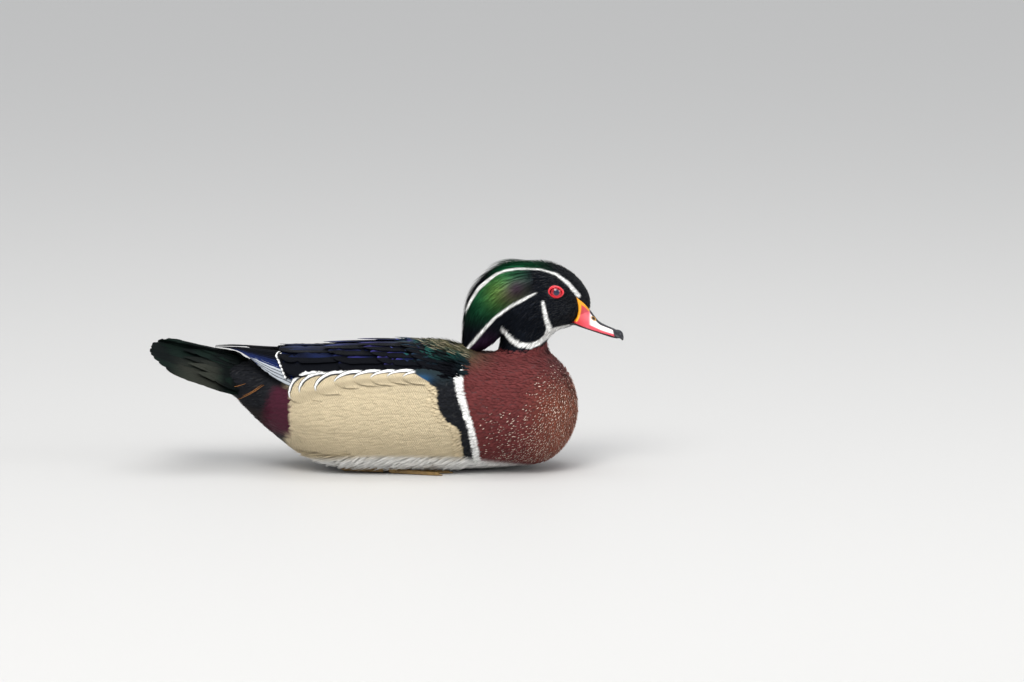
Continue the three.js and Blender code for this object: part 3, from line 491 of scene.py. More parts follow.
def skinParts():
    turn = np.linspace(0, 2 * math.pi, 96, endpoint=False)
    deep = feathering["bodyDepth"]
    stations = eased(-139 + deep, breastReach - deep, 120)[:, None]
    parts = [bodyPoint(stations, turn, -deep)]
    stations = eased(head["rear"][1] + 1.2, head["front"][1] - 1.2, 60)[:, None]
    parts.append(barrelPoint(head, headLine, stations, turn, -feathering["headDepth"]))
    parts.append(neckPoint(np.linspace(68, 120, 30)[:, None], turn, -feathering["neckDepth"]))
    # the crest's inside: down one side and up the other
    along = np.linspace(0.02, 0.97, 50)[:, None]
    band = np.concatenate([np.linspace(0.03, 0.97, 20), np.linspace(0.97, 0.03, 20)])[None]
    lobe = crestPoint(along + 0 * band, band + 0 * along)
    lobe[..., 1] = np.maximum(lobe[..., 1] - feathering["crestInset"], 0.9) * np.repeat([1, -1], 20)
    centre = lobe.mean(1, keepdims=True)
    parts.append(centre + (lobe - centre) * np.array([0.95, 1, 0.95]))
    # the folded wings' pads over the back
    stations = np.linspace(-96, 60, 60)[:, None]
    arc = np.linspace(-1.2, 1.2, 40)[None]
    ease = -feathering["wingInset"] - 8 * softStep(-stations, 66, 96) - 3 * softStep(stations, 48, 60)
    pad = shellPoint(stations, arc, ease - 2 * softStep(np.abs(arc), 1.0, 1.2))
    parts.append(np.concatenate([pad, joined(stations, 0, 40)], 1))
    # the flanks
    stations = np.linspace(-82, 66, 60)[:, None]
    arc = np.linspace(0.92, 1.95, 24)[None]
    edge = softStep(np.abs(stations + 8), 62, 74) + softStep(-arc, -1.05, -0.92) + softStep(arc, 1.8, 1.95)
    pad = flankPoint(stations, arc, -feathering["flankInset"] - 1.6 * edge)
    pad = np.concatenate([pad, joined(stations, 20, 45)], 1)
    parts += [pad, pad * np.array([1, -1, 1])]
    # the flesh that carries the tail feathers
    along = np.linspace(0.0, 0.4, 24)[:, None]
    side = np.linspace(-0.95, 0.95, 28)[None]
    thin = 1 - softStep(along, 0.18, 0.4)
    upper = tailPoint(along, side, -2.4 - 3 * (1 - thin))
    lower = tailPoint(along, -side)
    lower[..., 2] = tailPoint(along, 0.95)[..., 2] - 3 - 9 * thin * np.cos(side * 1.5)
    parts.append(np.concatenate([upper, lower], 1))
    return [closedLoft(rings) for rings in parts]


print("skin")
skin = fused("skin", skinParts(), feathering["voxel"], feathering["smoothing"])
skinPoints = pointsOf(skin)
skinPoints[:, 2] = np.maximum(skinPoints[:, 2], feathering["lowest"])
setPoints(skin.data, skinPoints)
skin.data.update()
skinFaces = [tuple(f.vertices) for f in skin.data.polygons]
skinTree = BVHTree.FromPolygons(skinPoints.tolist(), skinFaces)
print("skin faces", len(skinFaces))

faceCorners = skinPoints[np.array([f if len(f) == 4 else f + (f[-1],) for f in skinFaces])]
faceMiddles = faceCorners.mean(1)
faceCross = np.cross(faceCorners[:, 2] - faceCorners[:, 0], faceCorners[:, 3] - faceCorners[:, 1])
faceAreas = 0.5 * np.linalg.norm(faceCross, axis=1)


def ontoSkin(points):
    found = [skinTree.find_nearest(p)[:2] for p in points.tolist()]
    return np.array([place for place, normal in found]), np.array([normal for place, normal in found])


def scatter(where, spacing, seed, tries=5):
    # places on the skin, evenly spread and never closer than spacing, where the given test holds
    rng = np.random.default_rng(seed)
    chosen = np.flatnonzero(where(faceMiddles))
    area = faceAreas[chosen]
    count = int(area.sum() / spacing ** 2 * tries)
    pick = chosen[rng.choice(len(chosen), count, p=area / area.sum())]
    u, v = rng.uniform(0, 1, (2, count, 1))
    c = faceCorners[pick]
    spots = mix(mix(c[:, 0], c[:, 1], u), mix(c[:, 3], c[:, 2], u), v)
    taken, kept = {}, []
    around = [(a, b, d) for a in (-1, 0, 1) for b in (-1, 0, 1) for d in (-1, 0, 1)]
    cells = np.floor(spots / spacing).astype(int).tolist()
    for i, (p, (a, b, d)) in enumerate(zip(spots.tolist(), cells)):
        near = (r for da, db, dd in around for r in taken.get((a + da, b + db, d + dd), ()))
        if all((p[0] - r[0]) ** 2 + (p[1] - r[1]) ** 2 + (p[2] - r[2]) ** 2 >= spacing ** 2 for r in near):
            taken.setdefault((a, b, d), []).append(p)
            kept.append(i)
    return spots[kept]


# Lie of the coat.
def crestGrid(shift=0.0):
    # places all over the crest, or a little further up or down it
    alongs, bands = np.linspace(0, 1, 40), np.linspace(0, 1, 14)
    grid = np.array([(a, b, hand) for a in alongs for b in bands for hand in (1, -1)])
    points = crestPoint(np.clip(grid[:, 0] + shift, 0, 1), grid[:, 1])
    points[:, 1] *= grid[:, 2]
    return points


crestSpots = crestGrid()
crestFall = unit((crestGrid(0.03) - crestGrid(-0.03)) * np.array([1, 0, 1]))


def headLie(points):
    # back over the face, then as the nearest place on the crest lies
    x, z = points[:, 0], points[:, 2]
    face = joined(-1, 0, -0.32 - 0.5 * softStep(132 - z, 0, 26) + 0.5 * softStep(z, 150, 162))
    rear = np.empty_like(points)
    for start in range(0, len(points), 2000):
        p = points[start:start + 2000]
        rear[start:start + 2000] = crestFall[((p[:, None] - crestSpots) ** 2).sum(-1).argmin(1)]
    return unit(mix(unit(face), rear, softStep(124 - x, 0, 20)[:, None]))


def bodyLie(points):
    x, z = points[:, 0], points[:, 2]
    drop = -0.1 - 0.5 * softStep(x, 80, 140) + 0.1 * softStep(z, 85, 95)
    drop = mix(drop, -0.25 + 0.55 * softStep(-105 - x, 0, 30), softStep(-78 - x, 0, 20))
    return unit(joined(-1, 0, drop))


def skirtLie(points):
    return unit(joined(-1, 0, -0.55 + 0 * points[:, 0]))


# Places on the sheet of each coat: round the long axis, or out from the middle of a dome.
def roundAxis(points, xRange, centreZ=50.0):
    turn = np.arctan2(points[:, 1], points[:, 2] - centreZ) / (2 * math.pi) + 0.5
    along = (points[:, 0] - xRange[0]) / (xRange[1] - xRange[0])
    return 0.02 + 0.96 * joined(turn, np.clip(along, 0, 1))


def overDome(points, centre, reach):
    d = unit((points - np.array(centre)) / np.array(reach))
    out = np.arccos(np.clip(d[:, 0], -1, 1)) / math.pi
    turn = np.arctan2(d[:, 1], d[:, 2])
    return 0.5 + 0.47 * out[:, None] * joined(np.sin(turn), np.cos(turn))


class Finish:
    # a material round one shader, with short ways to wire its nodes
    def __init__(self, name):
        self.material = bpy.data.materials.new(name)
        self.material.use_nodes = True
        self.tree = self.material.node_tree
        self.tree.nodes.clear()
        self.shader = self.add("BsdfPrincipled")
        self.add("OutputMaterial", {"Surface": self.shader.outputs["BSDF"]})
        self.place = self.add("TexCoord").outputs["Object"]

    def add(self, kind, inputs=None, **settings):
        node = self.tree.nodes.new("ShaderNode" + kind)
        for key, value in settings.items():
            setattr(node, key, value)
        self.feed(node, inputs or {})
        return node

    def feed(self, node, inputs):
        # sockets are linked, numbers and colours are typed in
        for key, value in inputs.items():
            if isinstance(value, bpy.types.NodeSocket):
                self.tree.links.new(value, node.inputs[key])
            else:
                node.inputs[key].default_value = value

    def maths(self, kind, *inputs, clamp=False):
        return self.add("Math", dict(enumerate(inputs)), operation=kind, use_clamp=clamp).outputs[0]

    def noise(self, scale, detail=3.0):
        return self.add("TexNoise", {"Scale": scale, "Detail": detail, "Vector": self.place}).outputs["Fac"]

    def dimmed(self, colour, factor):
        # a colour made darker or lighter by a number
        return self.add("VectorMath", {0: colour, "Scale": factor}, operation="SCALE").outputs[0]

    def relief(self, height, strength, depth):
        bump = self.add("Bump", {"Strength": strength, "Distance": depth, "Height": height})
        self.feed(self.shader, {"Normal": bump.outputs["Normal"]})


featherLooks = {
    "body_feathers": {
        "roughness": 0.62, "silky": 0.0, "shine": 0.08, "metal": 0.0, "barb": 0.42, "uneven": 0.32,
        "bump": 0.25, "sheen": 0.05,
    },
    "flank_feathers": {
        "roughness": 0.7, "silky": 0.0, "shine": 0.15, "metal": 0.0, "barb": 0.42, "uneven": 0.08,
        "bump": 0.12, "sheen": 0.08, "barPeriod": 0.0013, "barDepth": 0.5,
    },
    "head_feathers": {
        "roughness": 0.48, "silky": 0.14, "shine": 0.05, "metal": 0.75, "barb": 0.3, "uneven": 0.7,
        "bump": 0.15, "sheen": 0.0,
    },
    "flight_feathers": {
        "roughness": 0.5, "silky": 0.14, "shine": 0.012, "metal": 0.6, "barb": 0.55, "uneven": 0.2,
        "bump": 0.25, "sheen": 0.0,
    },
}


def featherFinish(name):
    # colour from the marking on the feather, broken by its barbs and by a shade of its own
    look = featherLooks[name]
    made = Finish(name)
    maths = made.maths
    tint = made.add("Attribute", attribute_name="tint")
    strand = made.add("Attribute", attribute_name="strand").outputs["Vector"]
    across, along, chance = made.add("SeparateXYZ", {0: strand}).outputs
    slant = maths("SUBTRACT", along, maths("MULTIPLY", maths("ABSOLUTE", across), 1.6))
    grain = made.noise(420.0)
    waves = maths("MULTIPLY_ADD", slant, 2 * math.pi / look["barb"], maths("MULTIPLY", grain, 7.0))
    barbs = maths("MULTIPLY_ADD", maths("SINE", waves), 0.5, 0.5)
    own = maths("MULTIPLY_ADD", chance, look["uneven"], 1 - look["uneven"] / 2)
    shade = maths("MULTIPLY", own, maths("MULTIPLY_ADD", barbs, 0.22, 0.86))
    shade = maths("MULTIPLY", shade, maths("MULTIPLY_ADD", grain, 0.4, 0.8))
    colour = made.dimmed(tint.outputs["Color"], shade)
    if "barPeriod" in look:
        # fine wavy bars where the colour is warm
        spot = made.add("SeparateXYZ", {0: made.place}).outputs
        run = maths("ADD", maths("MULTIPLY", spot["X"], 0.86), maths("MULTIPLY", spot["Z"], 0.5))
        bend = maths("MULTIPLY", made.noise(260.0, 2.0), 13.0)
        broken = maths("MULTIPLY_ADD", made.noise(700.0, 1.0), 1.6, -0.8)
        line = maths("SINE", maths("MULTIPLY_ADD", run, 2 * math.pi / look["barPeriod"], bend))
        line = maths("MULTIPLY_ADD", maths("ADD", line, broken), 1.1, 0.1, clamp=True)
        plain = made.add("SeparateColor", {0: tint.outputs["Color"]}).outputs
        warm = maths("MULTIPLY", maths("SUBTRACT", plain["Red"], plain["Blue"]), 3.2, clamp=True)
        ink = maths("MULTIPLY_ADD", maths("MULTIPLY", line, warm), -look["barDepth"], 1.0)
        colour = made.dimmed(colour, ink)
    gloss = tint.outputs["Alpha"]
    rough = maths("MULTIPLY_ADD", gloss, -look["silky"], look["roughness"])
    made.feed(made.shader, {"Base Color": colour, "Roughness": maths("MULTIPLY_ADD", grain, 0.12, rough),
                            "Specular IOR Level": look["shine"], "Sheen Weight": look["sheen"],
                            "Sheen Roughness": 0.4})
    if look["metal"]:
        made.feed(made.shader, {"Metallic": maths("MULTIPLY", gloss, look["metal"])})
    made.relief(barbs, look["bump"], 0.0002)
    return made


def mottledFinish(name, scale, detail, swing, base):
    # the painted colour made lighter and darker by soft clouds; gives the finish and its clouds
    made = Finish(name)
    tint = made.add("Attribute", attribute_name="tint").outputs["Color"]
    cloud = made.noise(scale, detail)
    shade = made.maths("MULTIPLY_ADD", cloud, swing, base)
    made.feed(made.shader, {"Base Color": made.dimmed(tint, shade)})
    return made, cloud


coatFinish, flankFinish, headFinish, flightFinish = [featherFinish(name) for name in featherLooks]

# Downy under-layer that shows between the feathers.
downFinish, fluff = mottledFinish("skin_down", 900.0, 3.0, 0.5, 0.5)
downFinish.feed(downFinish.shader, {"Roughness": 0.8})
downFinish.relief(fluff, 0.5, 0.0006)


def isHead(p):
    return p[..., 2] > markLine["headEnd"](p[..., 0])


def headCoatTint(p):
    # dark feathers shine, pale ones don't
    tint = headTint(p)
    return withGloss(tint, 1 - softStep(tint.max(-1), 0.16, 0.34))


def bodyCoatTint(p):
    return withGloss(bodyTint(p))


skinTint = np.where(isHead(skinPoints)[:, None], headTint(skinPoints), bodyTint(skinPoints))
addValue(skin.data, "tint", withGloss(skinTint))
dress(skin, downFinish, "back_plumage", "torso", "breast", "rump", "neck", "head")

vaneShapes = {                                    # [along, width] from root to tip
    "hair": [[0, 0.7], [0.45, 1], [0.8, 0.75], [1, 0.12]],
    "lance": [[0, 0.45], [0.25, 0.9], [0.55, 1], [0.8, 0.78], [0.93, 0.45], [1, 0.08]],
    "round": [[0, 0.5], [0.35, 0.9], [0.68, 1], [0.88, 0.76], [0.97, 0.4], [1, 0.1]],
    "fleck": [[0, 0.1], [0.6, 1], [1, 0.2]],
}
coatDefaults = {
    "lie": bodyLie, "tint": bodyCoatTint, "finish": coatFinish, "nodes": (),
    "uneven": 0.14,                               # how much the feathers' lengths differ
    "widthUneven": 0.15,
    "riseUneven": 0.35,
    "stray": 0.1,                                 # and their directions
    "roll": 0.12,                                 # and their tilt
    "sink": -0.25,                                # height of the roots over the skin
    "crown": 0,                                   # how much higher the tips stand on the crown
    "columns": 3,
    "cup": 0.18,
    "pull": 0.6,                                  # how far each feather takes one colour
}


def growCoat(name, coat):
    # one sheet of overlapping feathers: each bends over the skin from its root to its raised tip
    spec = {**coatDefaults, **coat}
    roots = scatter(spec["where"], spec["spacing"], spec["seeds"][0])
    if "keep" in spec:
        roots = roots[spec["keep"](roots)]
    span = spec.get("span", (roots[:, 0].min() - 1, roots[:, 0].max() + 1))
    rng = np.random.default_rng(spec["seeds"][1])
    n = len(roots)
    roots, normals = ontoSkin(roots)
    length = spec["length"](roots) if callable(spec["length"]) else spec["length"]
    length = length * (1 + spec["uneven"] * rng.uniform(-1, 1, n))
    width = spec["width"] / 2 * (1 + spec["widthUneven"] * rng.uniform(-1, 1, n))
    rise = spec["rise"] * (1 + spec["riseUneven"] * rng.uniform(-1, 1, n))
    rise = rise + spec["crown"] * softStep(roots[:, 2], 158, 165)
    flow = spec["lie"](roots)
    stray = rng.normal(0, spec["stray"], n)[:, None]
    flow = unit(flow - normals * (flow * normals).sum(-1, keepdims=True))
    flow = unit(flow + np.cross(normals, flow) * stray)
    half = (length / 2)[:, None]
    middle, middleNormal = ontoSkin(roots + flow * half)
    tip, tipNormal = ontoSkin(middle + unit(middle - roots) * half)
    shape = np.array(vaneShapes[spec["shape"]])
    t = shape[:, 0][None, :, None]
    first, second, third = (1 - t) * (1 - 2 * t), 4 * t * (1 - t), t * (2 * t - 1)
    spine = roots[:, None] * first + middle[:, None] * second + tip[:, None] * third
    normal = unit(normals[:, None] * first + middleNormal[:, None] * second + tipNormal[:, None] * third)
    spine = spine + normal * (spec["sink"] + (rise[:, None, None] - spec["sink"]) * t ** 1.3)
    side = unit(np.cross(np.gradient(spine, axis=1), normal))
    side = unit(side + normal * rng.normal(0, spec["roll"], n)[:, None, None])
    across = np.linspace(-1, 1, spec["columns"])[:, None]
    half = (width[:, None] * shape[:, 1])[:, :, None, None]
    points = spine[:, :, None] + side[:, :, None] * across * half
    points = points - normal[:, :, None] * across ** 2 * half * spec["cup"]
    rows, columns = len(shape), len(across)
    tint = spec["tint"](mix(points, spine[:, int(rows * 0.6)][:, None, None], spec["pull"]))
    strand = joined(across[:, 0], t * length[:, None, None], rng.uniform(0, 1, n)[:, None, None])
    place = overDome(roots, *spec["dome"]) if "dome" in spec else roundAxis(roots, span)
    sheet = place[:, None, None] + joined(across[:, 0] * 0.5, t - 0.5) * feathering["patch"]
    quads = gridQuads(rows, columns, n)
    print(name, n, "feathers,", 2 * len(quads), "triangles")
    piece = meshPiece(name, points, quads, (), {"tint": tint, "strand": strand}, sheet)
    dress(piece, spec["finish"], spec["slot"], *spec["nodes"])


print("coat")


def aboutAngle(p):
    # turn round the body from the spine, 0 at the top and pi at the belly
    return np.arctan2(np.abs(p[..., 1]) / 60, (p[..., 2] - bodyLine["middle"](p[..., 0])) / 48)


def tanFront(p):
    # where the tan of the flank ends in front
    return np.where(p[..., 2] < 84, markLine["blackBack"](p[..., 2]), 44)


def onBreast(p):
    outside = (aboutAngle(p) > 0.98) | (p[..., 0] > 44)
    return ~isHead(p) & (p[..., 0] > tanFront(p) - 1.5) & (p[..., 2] > 10) & outside


def onFlank(p):
    return (p[..., 0] > -90) & (p[..., 0] < tanFront(p) + 1.5) & (aboutAngle(p) > 0.98) & (p[..., 2] > 10)


def onBelly(p):
    return (p[..., 2] <= 12) & (p[..., 0] > -92)


def onRump(p):
    return p[..., 0] < -86


def onBack(p):
    return (p[..., 0] > -88) & (p[..., 0] < 48) & (aboutAngle(p) < 1.0) & ~isHead(p)


breastDome = ((60, 0, 52), (90, 60, 50))
breastCoat = {
    "where": onBreast, "spacing": 1.75, "seeds": (11, 31), "length": 6.2, "width": 2.3, "rise": 1.25,
    "shape": "lance", "stray": 0.09, "pull": 0.35, "dome": breastDome, "slot": "breast_plumage",
}
growCoat("breast_coat", breastCoat)
flankCoat = {
    "where": onFlank, "spacing": 2.5, "seeds": (12, 32), "length": 13.5, "width": 4.4, "rise": 0.55,
    "shape": "lance", "stray": 0.07, "pull": 0.45, "sink": -0.05, "roll": 0.02, "columns": 5,
    "finish": flankFinish, "slot": "flank_plumage", "nodes": ("flank_left", "flank_right"),
}
growCoat("flank_coat", flankCoat)
bellyCoat = {
    "where": onBelly, "spacing": 3.6, "seeds": (13, 33), "length": 12.0, "width": 5.0, "rise": 0.5,
    "shape": "round", "stray": 0.12, "sink": -0.1, "slot": "flank_plumage",
}
growCoat("belly_coat", bellyCoat)
rumpCoat = {
    "where": onRump, "spacing": 1.6, "seeds": (14, 34), "length": 11.5, "width": 1.5, "rise": 1.0,
    "shape": "hair", "columns": 2, "slot": "back_plumage",
}
growCoat("rump_coat", rumpCoat)
backCoat = {
    "where": onBack, "spacing": 2.5, "seeds": (15, 35), "length": 8.5, "width": 3.4, "rise": 1.1,
    "shape": "lance", "stray": 0.12, "slot": "back_plumage",
}
growCoat("back_coat", backCoat)


def offBareSkin(roots):
    # neither at the eye nor on the bill's horn, as seen from the side
    x, z = roots[:, 0], roots[:, 2]
    onHorn = (x > markLine["face"](z) + 0.3) & (z < markLine["ridge"](x) - 0.4)
    return (np.hypot((x - 134) * 0.86, z - 143.6) > 4.9) & ~onHorn


def headHairLength(p):
    return mix(2.6, 7.0, softStep(136 - p[:, 0], 0, 36))


headCoat = {
    "where": isHead, "spacing": 0.8, "seeds": (5, 71), "keep": offBareSkin, "length": headHairLength,
    "width": 0.62, "rise": 0.75, "shape": "hair", "columns": 2, "cup": 0.0, "roll": 0.25, "pull": 0.4,
    "sink": -0.15, "crown": 1.5, "dome": ((112, 0, 134), (52, 21, 40)), "lie": headLie,
    "tint": headCoatTint, "finish": headFinish, "slot": "head_plumage",
}
growCoat("head_coat", headCoat)

# Long strands that fall from the crown and nape into the crest.
crestCoat = {
    "count": 5000, "width": 1.05, "reach": (0.16, 0.34), "rise": 0.5, "sink": -1.5, "loose": 1.4,
    "crown": 1.3, "uneven": 0.3, "drift": 0.03,
    "fullLength": 70,                             # millimetres from the crest's root to its end
    "shape": [[0, 0.5], [0.2, 0.9], [0.4, 1], [0.58, 0.95], [0.74, 0.75], [0.88, 0.5], [1.0, 0.1]],
}


def crestStrands():
    rng = np.random.default_rng(8)
    n = crestCoat["count"]
    start = rng.uniform(0.0, 0.86, n)
    band = rng.uniform(0.0, 0.98, n)
    hand = np.where(np.arange(n) % 2, 1, -1)
    reach = rng.uniform(*crestCoat["reach"], n) * mix(0.75, 1.0, rng.uniform(0, 1, n))
    t, wide = np.array(crestCoat["shape"]).T
    along = start[:, None] + reach[:, None] * t
    along = np.where(along > 0.94, 0.94 + (along - 0.94) * 0.35, along)
    band = np.clip(band[:, None] + rng.normal(0, crestCoat["drift"], n)[:, None] * t, 0.0, 1)
    loose = crestCoat["loose"] * rng.uniform(0, 1, n)[:, None] ** 3
    spine = crestPoint(along, band)
    rise = mix(crestCoat["sink"], crestCoat["rise"] + loose, t ** 1.2)
    rise = rise + crestCoat["crown"] * softStep(spine[..., 2], 158, 166)
    tangent = unit(crestPoint(along + 0.02, band) - spine + np.array([0, 0, -1e-4]))
    inward = crestPoint(along, np.clip(band + 0.06, 0, 1)) - crestPoint(along, np.clip(band - 0.06, 0, 1))
    normal = unit(np.cross(inward, tangent))
    normal = normal * np.sign(normal[..., 1:2] + 1e-6)
    outer = unit(joined(tangent[..., 2], 0, -tangent[..., 0]))
    normal = unit(mix(normal, outer, softStep(0.16 - band, 0, 0.16)[..., None]))
    spine = spine + normal * rise[..., None]
    side = unit(np.cross(tangent, normal))
    half = crestCoat["width"] / 2 * (1 + crestCoat["uneven"] * rng.uniform(-1, 1, n))[:, None] * wide
    across = np.array([-1.0, 1.0])
    points = spine[:, :, None] + side[:, :, None] * (across * half[..., None])[..., None]
    tint = headCoatTint(mix(points, spine[:, 4:5, None], 0.1))
    points[..., 1] *= hand[:, None, None]
    length = crestCoat["fullLength"] * reach
    strand = joined(across, (t * length[:, None])[..., None], rng.uniform(0, 1, n)[:, None, None])
    root = joined(0.5 + 0.25 * hand * (1 - 0.9 * band[:, 0]), 0.04 + 0.92 * np.clip(start + 0.04, 0, 1))
    sheet = root[:, None, None] + joined(across * 0.5, (t - 0.5)[:, None]) * feathering["patch"]
    print("crest", n, "strands")
    values = {"tint": tint, "strand": strand}
    return meshPiece("crest_strands", points, gridQuads(len(t), 2, n), (), values, sheet)


dress(crestStrands(), headFinish, "crest_plumage", "crest")


# White flecks on the breast, largest low and in front.
def onFrontOfBreast(p):
    return onBreast(p) & (p[..., 0] > 66)


def fleckChance(p):
    x, z = p[:, 0], p[:, 2]
    amount = softStep(x - (128 - (92 - z) * 0.62), -6, 26) * softStep(96 - z, 0, 22)
    amount = np.maximum(amount, 0.55 * softStep(60 - z, 0, 24) * softStep(x, 72, 90))
    return np.random.default_rng(4).uniform(0, 1, len(p)) < amount


def fleckTint(p):
    # each fleck its own strength between chestnut and white
    own = wave(p[..., :1, :1, 0] * 7.3 + p[..., :1, :1, 2] * 5.1)
    return withGloss(layered(bodyTint(p), [(paint["white"] * np.array([0.95, 0.78, 0.66]), 0.2 + 0.6 * own)]))


breastFlecks = {
    "where": onFrontOfBreast, "spacing": 1.6, "seeds": (91, 93), "keep": fleckChance, "length": 1.8,
    "width": 0.76, "rise": 1.35, "sink": 0.8, "shape": "fleck", "cup": 0.1, "stray": 0.3, "uneven": 0.5,
    "dome": breastDome, "tint": fleckTint, "slot": "breast_plumage",
}
growCoat("breast_flecks", breastFlecks)

# Big feathers: each a thin closed vane on a sheet, with a raised shaft and a few splits.
vaneColumns = np.array([-1, -0.72, -0.42, -0.16, -0.045, 0, 0.045, 0.16, 0.42, 0.72, 1.0])
hands = ((1, "left"), (-1, "right"))
vaneDefaults = {
    "start": 0.5,                                 # share of the full width at the quill
    "tipShare": 0.3,                              # share of the length that is rounded off
    "blunt": 2.0,
    "bend": 0,
    "lean": 0.0,                                  # how much one edge stands higher than the other
    "cup": 0.12,
    "tuck": 0.0,                                  # how far the lower edge is pushed in
    "thick": 0.3,
    "splits": 2,
    "ragged": 0.035,                              # unevenness of the edges
    "shaft": (0.28, 0.05),                        # the shaft's height, and its width as a share of the vane's
    "underside": 1.0,                             # how pale the underside is
    "inside": (-40, 0, 40),                       # a place under the sheet
}


def vaneWidth(f, t):
    # half width along a vane: narrow at the quill, full, then rounded off over the last share
    base = f["start"] + (1 - f["start"]) * softStep(t, 0, 0.3)
    end = np.clip((t - (1 - f["tipShare"])) / f["tipShare"], 0, 1)
    return base * np.maximum(0.04, 1 - end ** f["blunt"]) ** (1 / f["blunt"])


def bigFeathers(name, sheetAt, feathers, hand, tintAt, seed, columns=vaneColumns, rows=22):
    rng = np.random.default_rng(seed)
    cells = math.ceil(math.sqrt(len(feathers)))
    c, k = columns[None], len(columns)
    t = 1 - (1 - np.linspace(0, 1, rows)) ** 1.35
    tall = t[:, None]
    # the faces of one vane: its top, its underside and its two edges
    up = gridQuads(rows, k)
    rim = np.arange(rows - 1)[:, None] * k + np.array([0, k, k + rows * k, rows * k])
    quads = np.concatenate([up, up[:, ::-1] + rows * k, rim, rim[:, [0, 3, 2, 1]] + k - 1])
    made = []
    for number, f in enumerate(feathers):
        f = {**vaneDefaults, **f}
        u = mix(f["root"][0], f["tip"][0], t)
        v = mix(f["root"][1], f["tip"][1], t) + f["bend"] * np.sin(math.pi * t)
        spine = sheetAt(u, v)
        crossing = sheetAt(u, v + 0.01) - sheetAt(u, v - 0.01)
        tangent = unit(np.gradient(spine, axis=0))
        normal = unit(np.cross(crossing, tangent))
        normal = normal * np.sign((normal * (spine - np.array(f["inside"]))).sum(-1, keepdims=True))
        side = unit(np.cross(normal, tangent))
        side = side * np.sign((side * crossing).sum(-1, keepdims=True))
        w = (vaneWidth(f, t) * f["half"])[:, None]
        ragged = 1 + f["ragged"] * rng.normal(0, 1, (rows, 2))
        for _ in range(f["splits"]):
            row = rng.integers(int(rows * 0.45), rows - 3)
            ragged[row, rng.integers(0, 2)] *= rng.uniform(0.62, 0.85)
        edge = np.where(c < 0, ragged[:, :1], ragged[:, 1:])
        spread = c * w * np.where(np.abs(c) > 0.9, edge, 1)
        risen = softStep(t, 0, f["early"]) if "early" in f else t
        lift = mix(*f["lift"], risen)[:, None] + f["lean"] * c * w / f["half"] - f["cup"] * c ** 2 * w
        lift = lift + f["shaft"][0] * np.exp(-(c / f["shaft"][1]) ** 2) * (1 - 0.6 * tall)
        lift = lift - f["tuck"] * softStep(c * w / f["half"], 0.1, 0.8)
        top = spine[:, None] + side[:, None] * spread[..., None] + normal[:, None] * lift[..., None]
        thick = f["thick"] * (1 - 0.75 * np.abs(c) ** 3)
        under = top - normal[:, None] * thick[..., None]
        tint = tintAt(f, *np.broadcast_arrays(c, tall), top)
        length = np.linalg.norm(np.diff(spine, axis=0), axis=1).sum()
        strand = joined(c * w * 0.7, tall * length, rng.uniform(0, 1))
        cell = np.array([number % cells, number // cells]) / cells
        sheet = cell + (joined(c * 0.5 + 0.5, tall) * 0.9 + 0.05) / cells
        made.append((np.stack([top, under]) * np.array([1, hand, 1]), np.stack([tint, tint * f["underside"]]),
                     np.stack([strand, strand]), np.stack([sheet, sheet])))
    points, tint, strand, sheet = [np.stack(parts) for parts in zip(*made)]
    quads = quads if hand > 0 else quads[:, ::-1]
    quads = np.arange(len(feathers))[:, None, None] * 2 * rows * k + quads
    print(name, len(feathers), "feathers,", quads.size // 2, "triangles")
    return meshPiece(name, points, quads, (), {"tint": tint, "strand": strand}, sheet)


def row(kind, count, rootX, tipX, rootAngle, tipAngle, half, lift, **more):
    # a row of like feathers from its lowest to its highest: each pair runs over the row
    made = []
    for s in np.arange(count) / (count - 1):
        made.append({"kind": kind, "share": s, "half": mix(*half, s), "lift": (lift[0], lift[1] + 0.5 * s),
                     "root": (mix(*rootX, s), mix(*rootAngle, s)), "tip": (mix(*tipX, s), mix(*tipAngle, s)),
                     **more})
    return made


shoulderLook = {"start": 0.7, "lean": 0.55, "cup": 0.02, "thick": 0.15, "splits": 1}
wing = {
    "flight": row("primary", 11, (-62, -60), (-104, -137), (1.22, 0.3), (1.06, 0.2), (3.4, 4.8), (-2.6, -0.6),
                  start=0.7, tipShare=0.4, blunt=1.6, lean=0.35, cup=0.04, underside=0.05)
    + row("secondary", 7, (-46, -50), (-81, -88), (0.80, 0.4), (1.00, 0.48), (6.0, 7.5), (-3.0, -0.4),
          start=0.8, tipShare=0.12, blunt=3.0, lean=0.3, cup=0.04),
    "shoulder": row("tertial", 3, (-16, -24), (-82, -86), (0.60, 0.18), (0.76, 0.24), (14.5, 11.5),
                    (-1.8, 0.2), **shoulderLook, tipShare=0.26, blunt=2.4)
    + row("scapular", 4, (14, 6), (-38, -51), (0.70, 0.18), (0.71, 0.2), (12.0, 10.0), (-1.4, 0.7),
          **shoulderLook, tipShare=0.4)
    + row("scapular", 5, (38, 30), (-2, -24), (0.74, 0.18), (0.76, 0.18), (10.5, 8.5), (-1.4, 1.1),
          **shoulderLook, tipShare=0.45, blunt=1.8)
    + row("shoulder", 6, (58, 54), (28, 6), (0.80, 0.2), (0.82, 0.16), (9.0, 7.0), (-3.0, 1.0),
          **{**shoulderLook, "lean": 0.5}, tipShare=0.5, blunt=1.8),
}


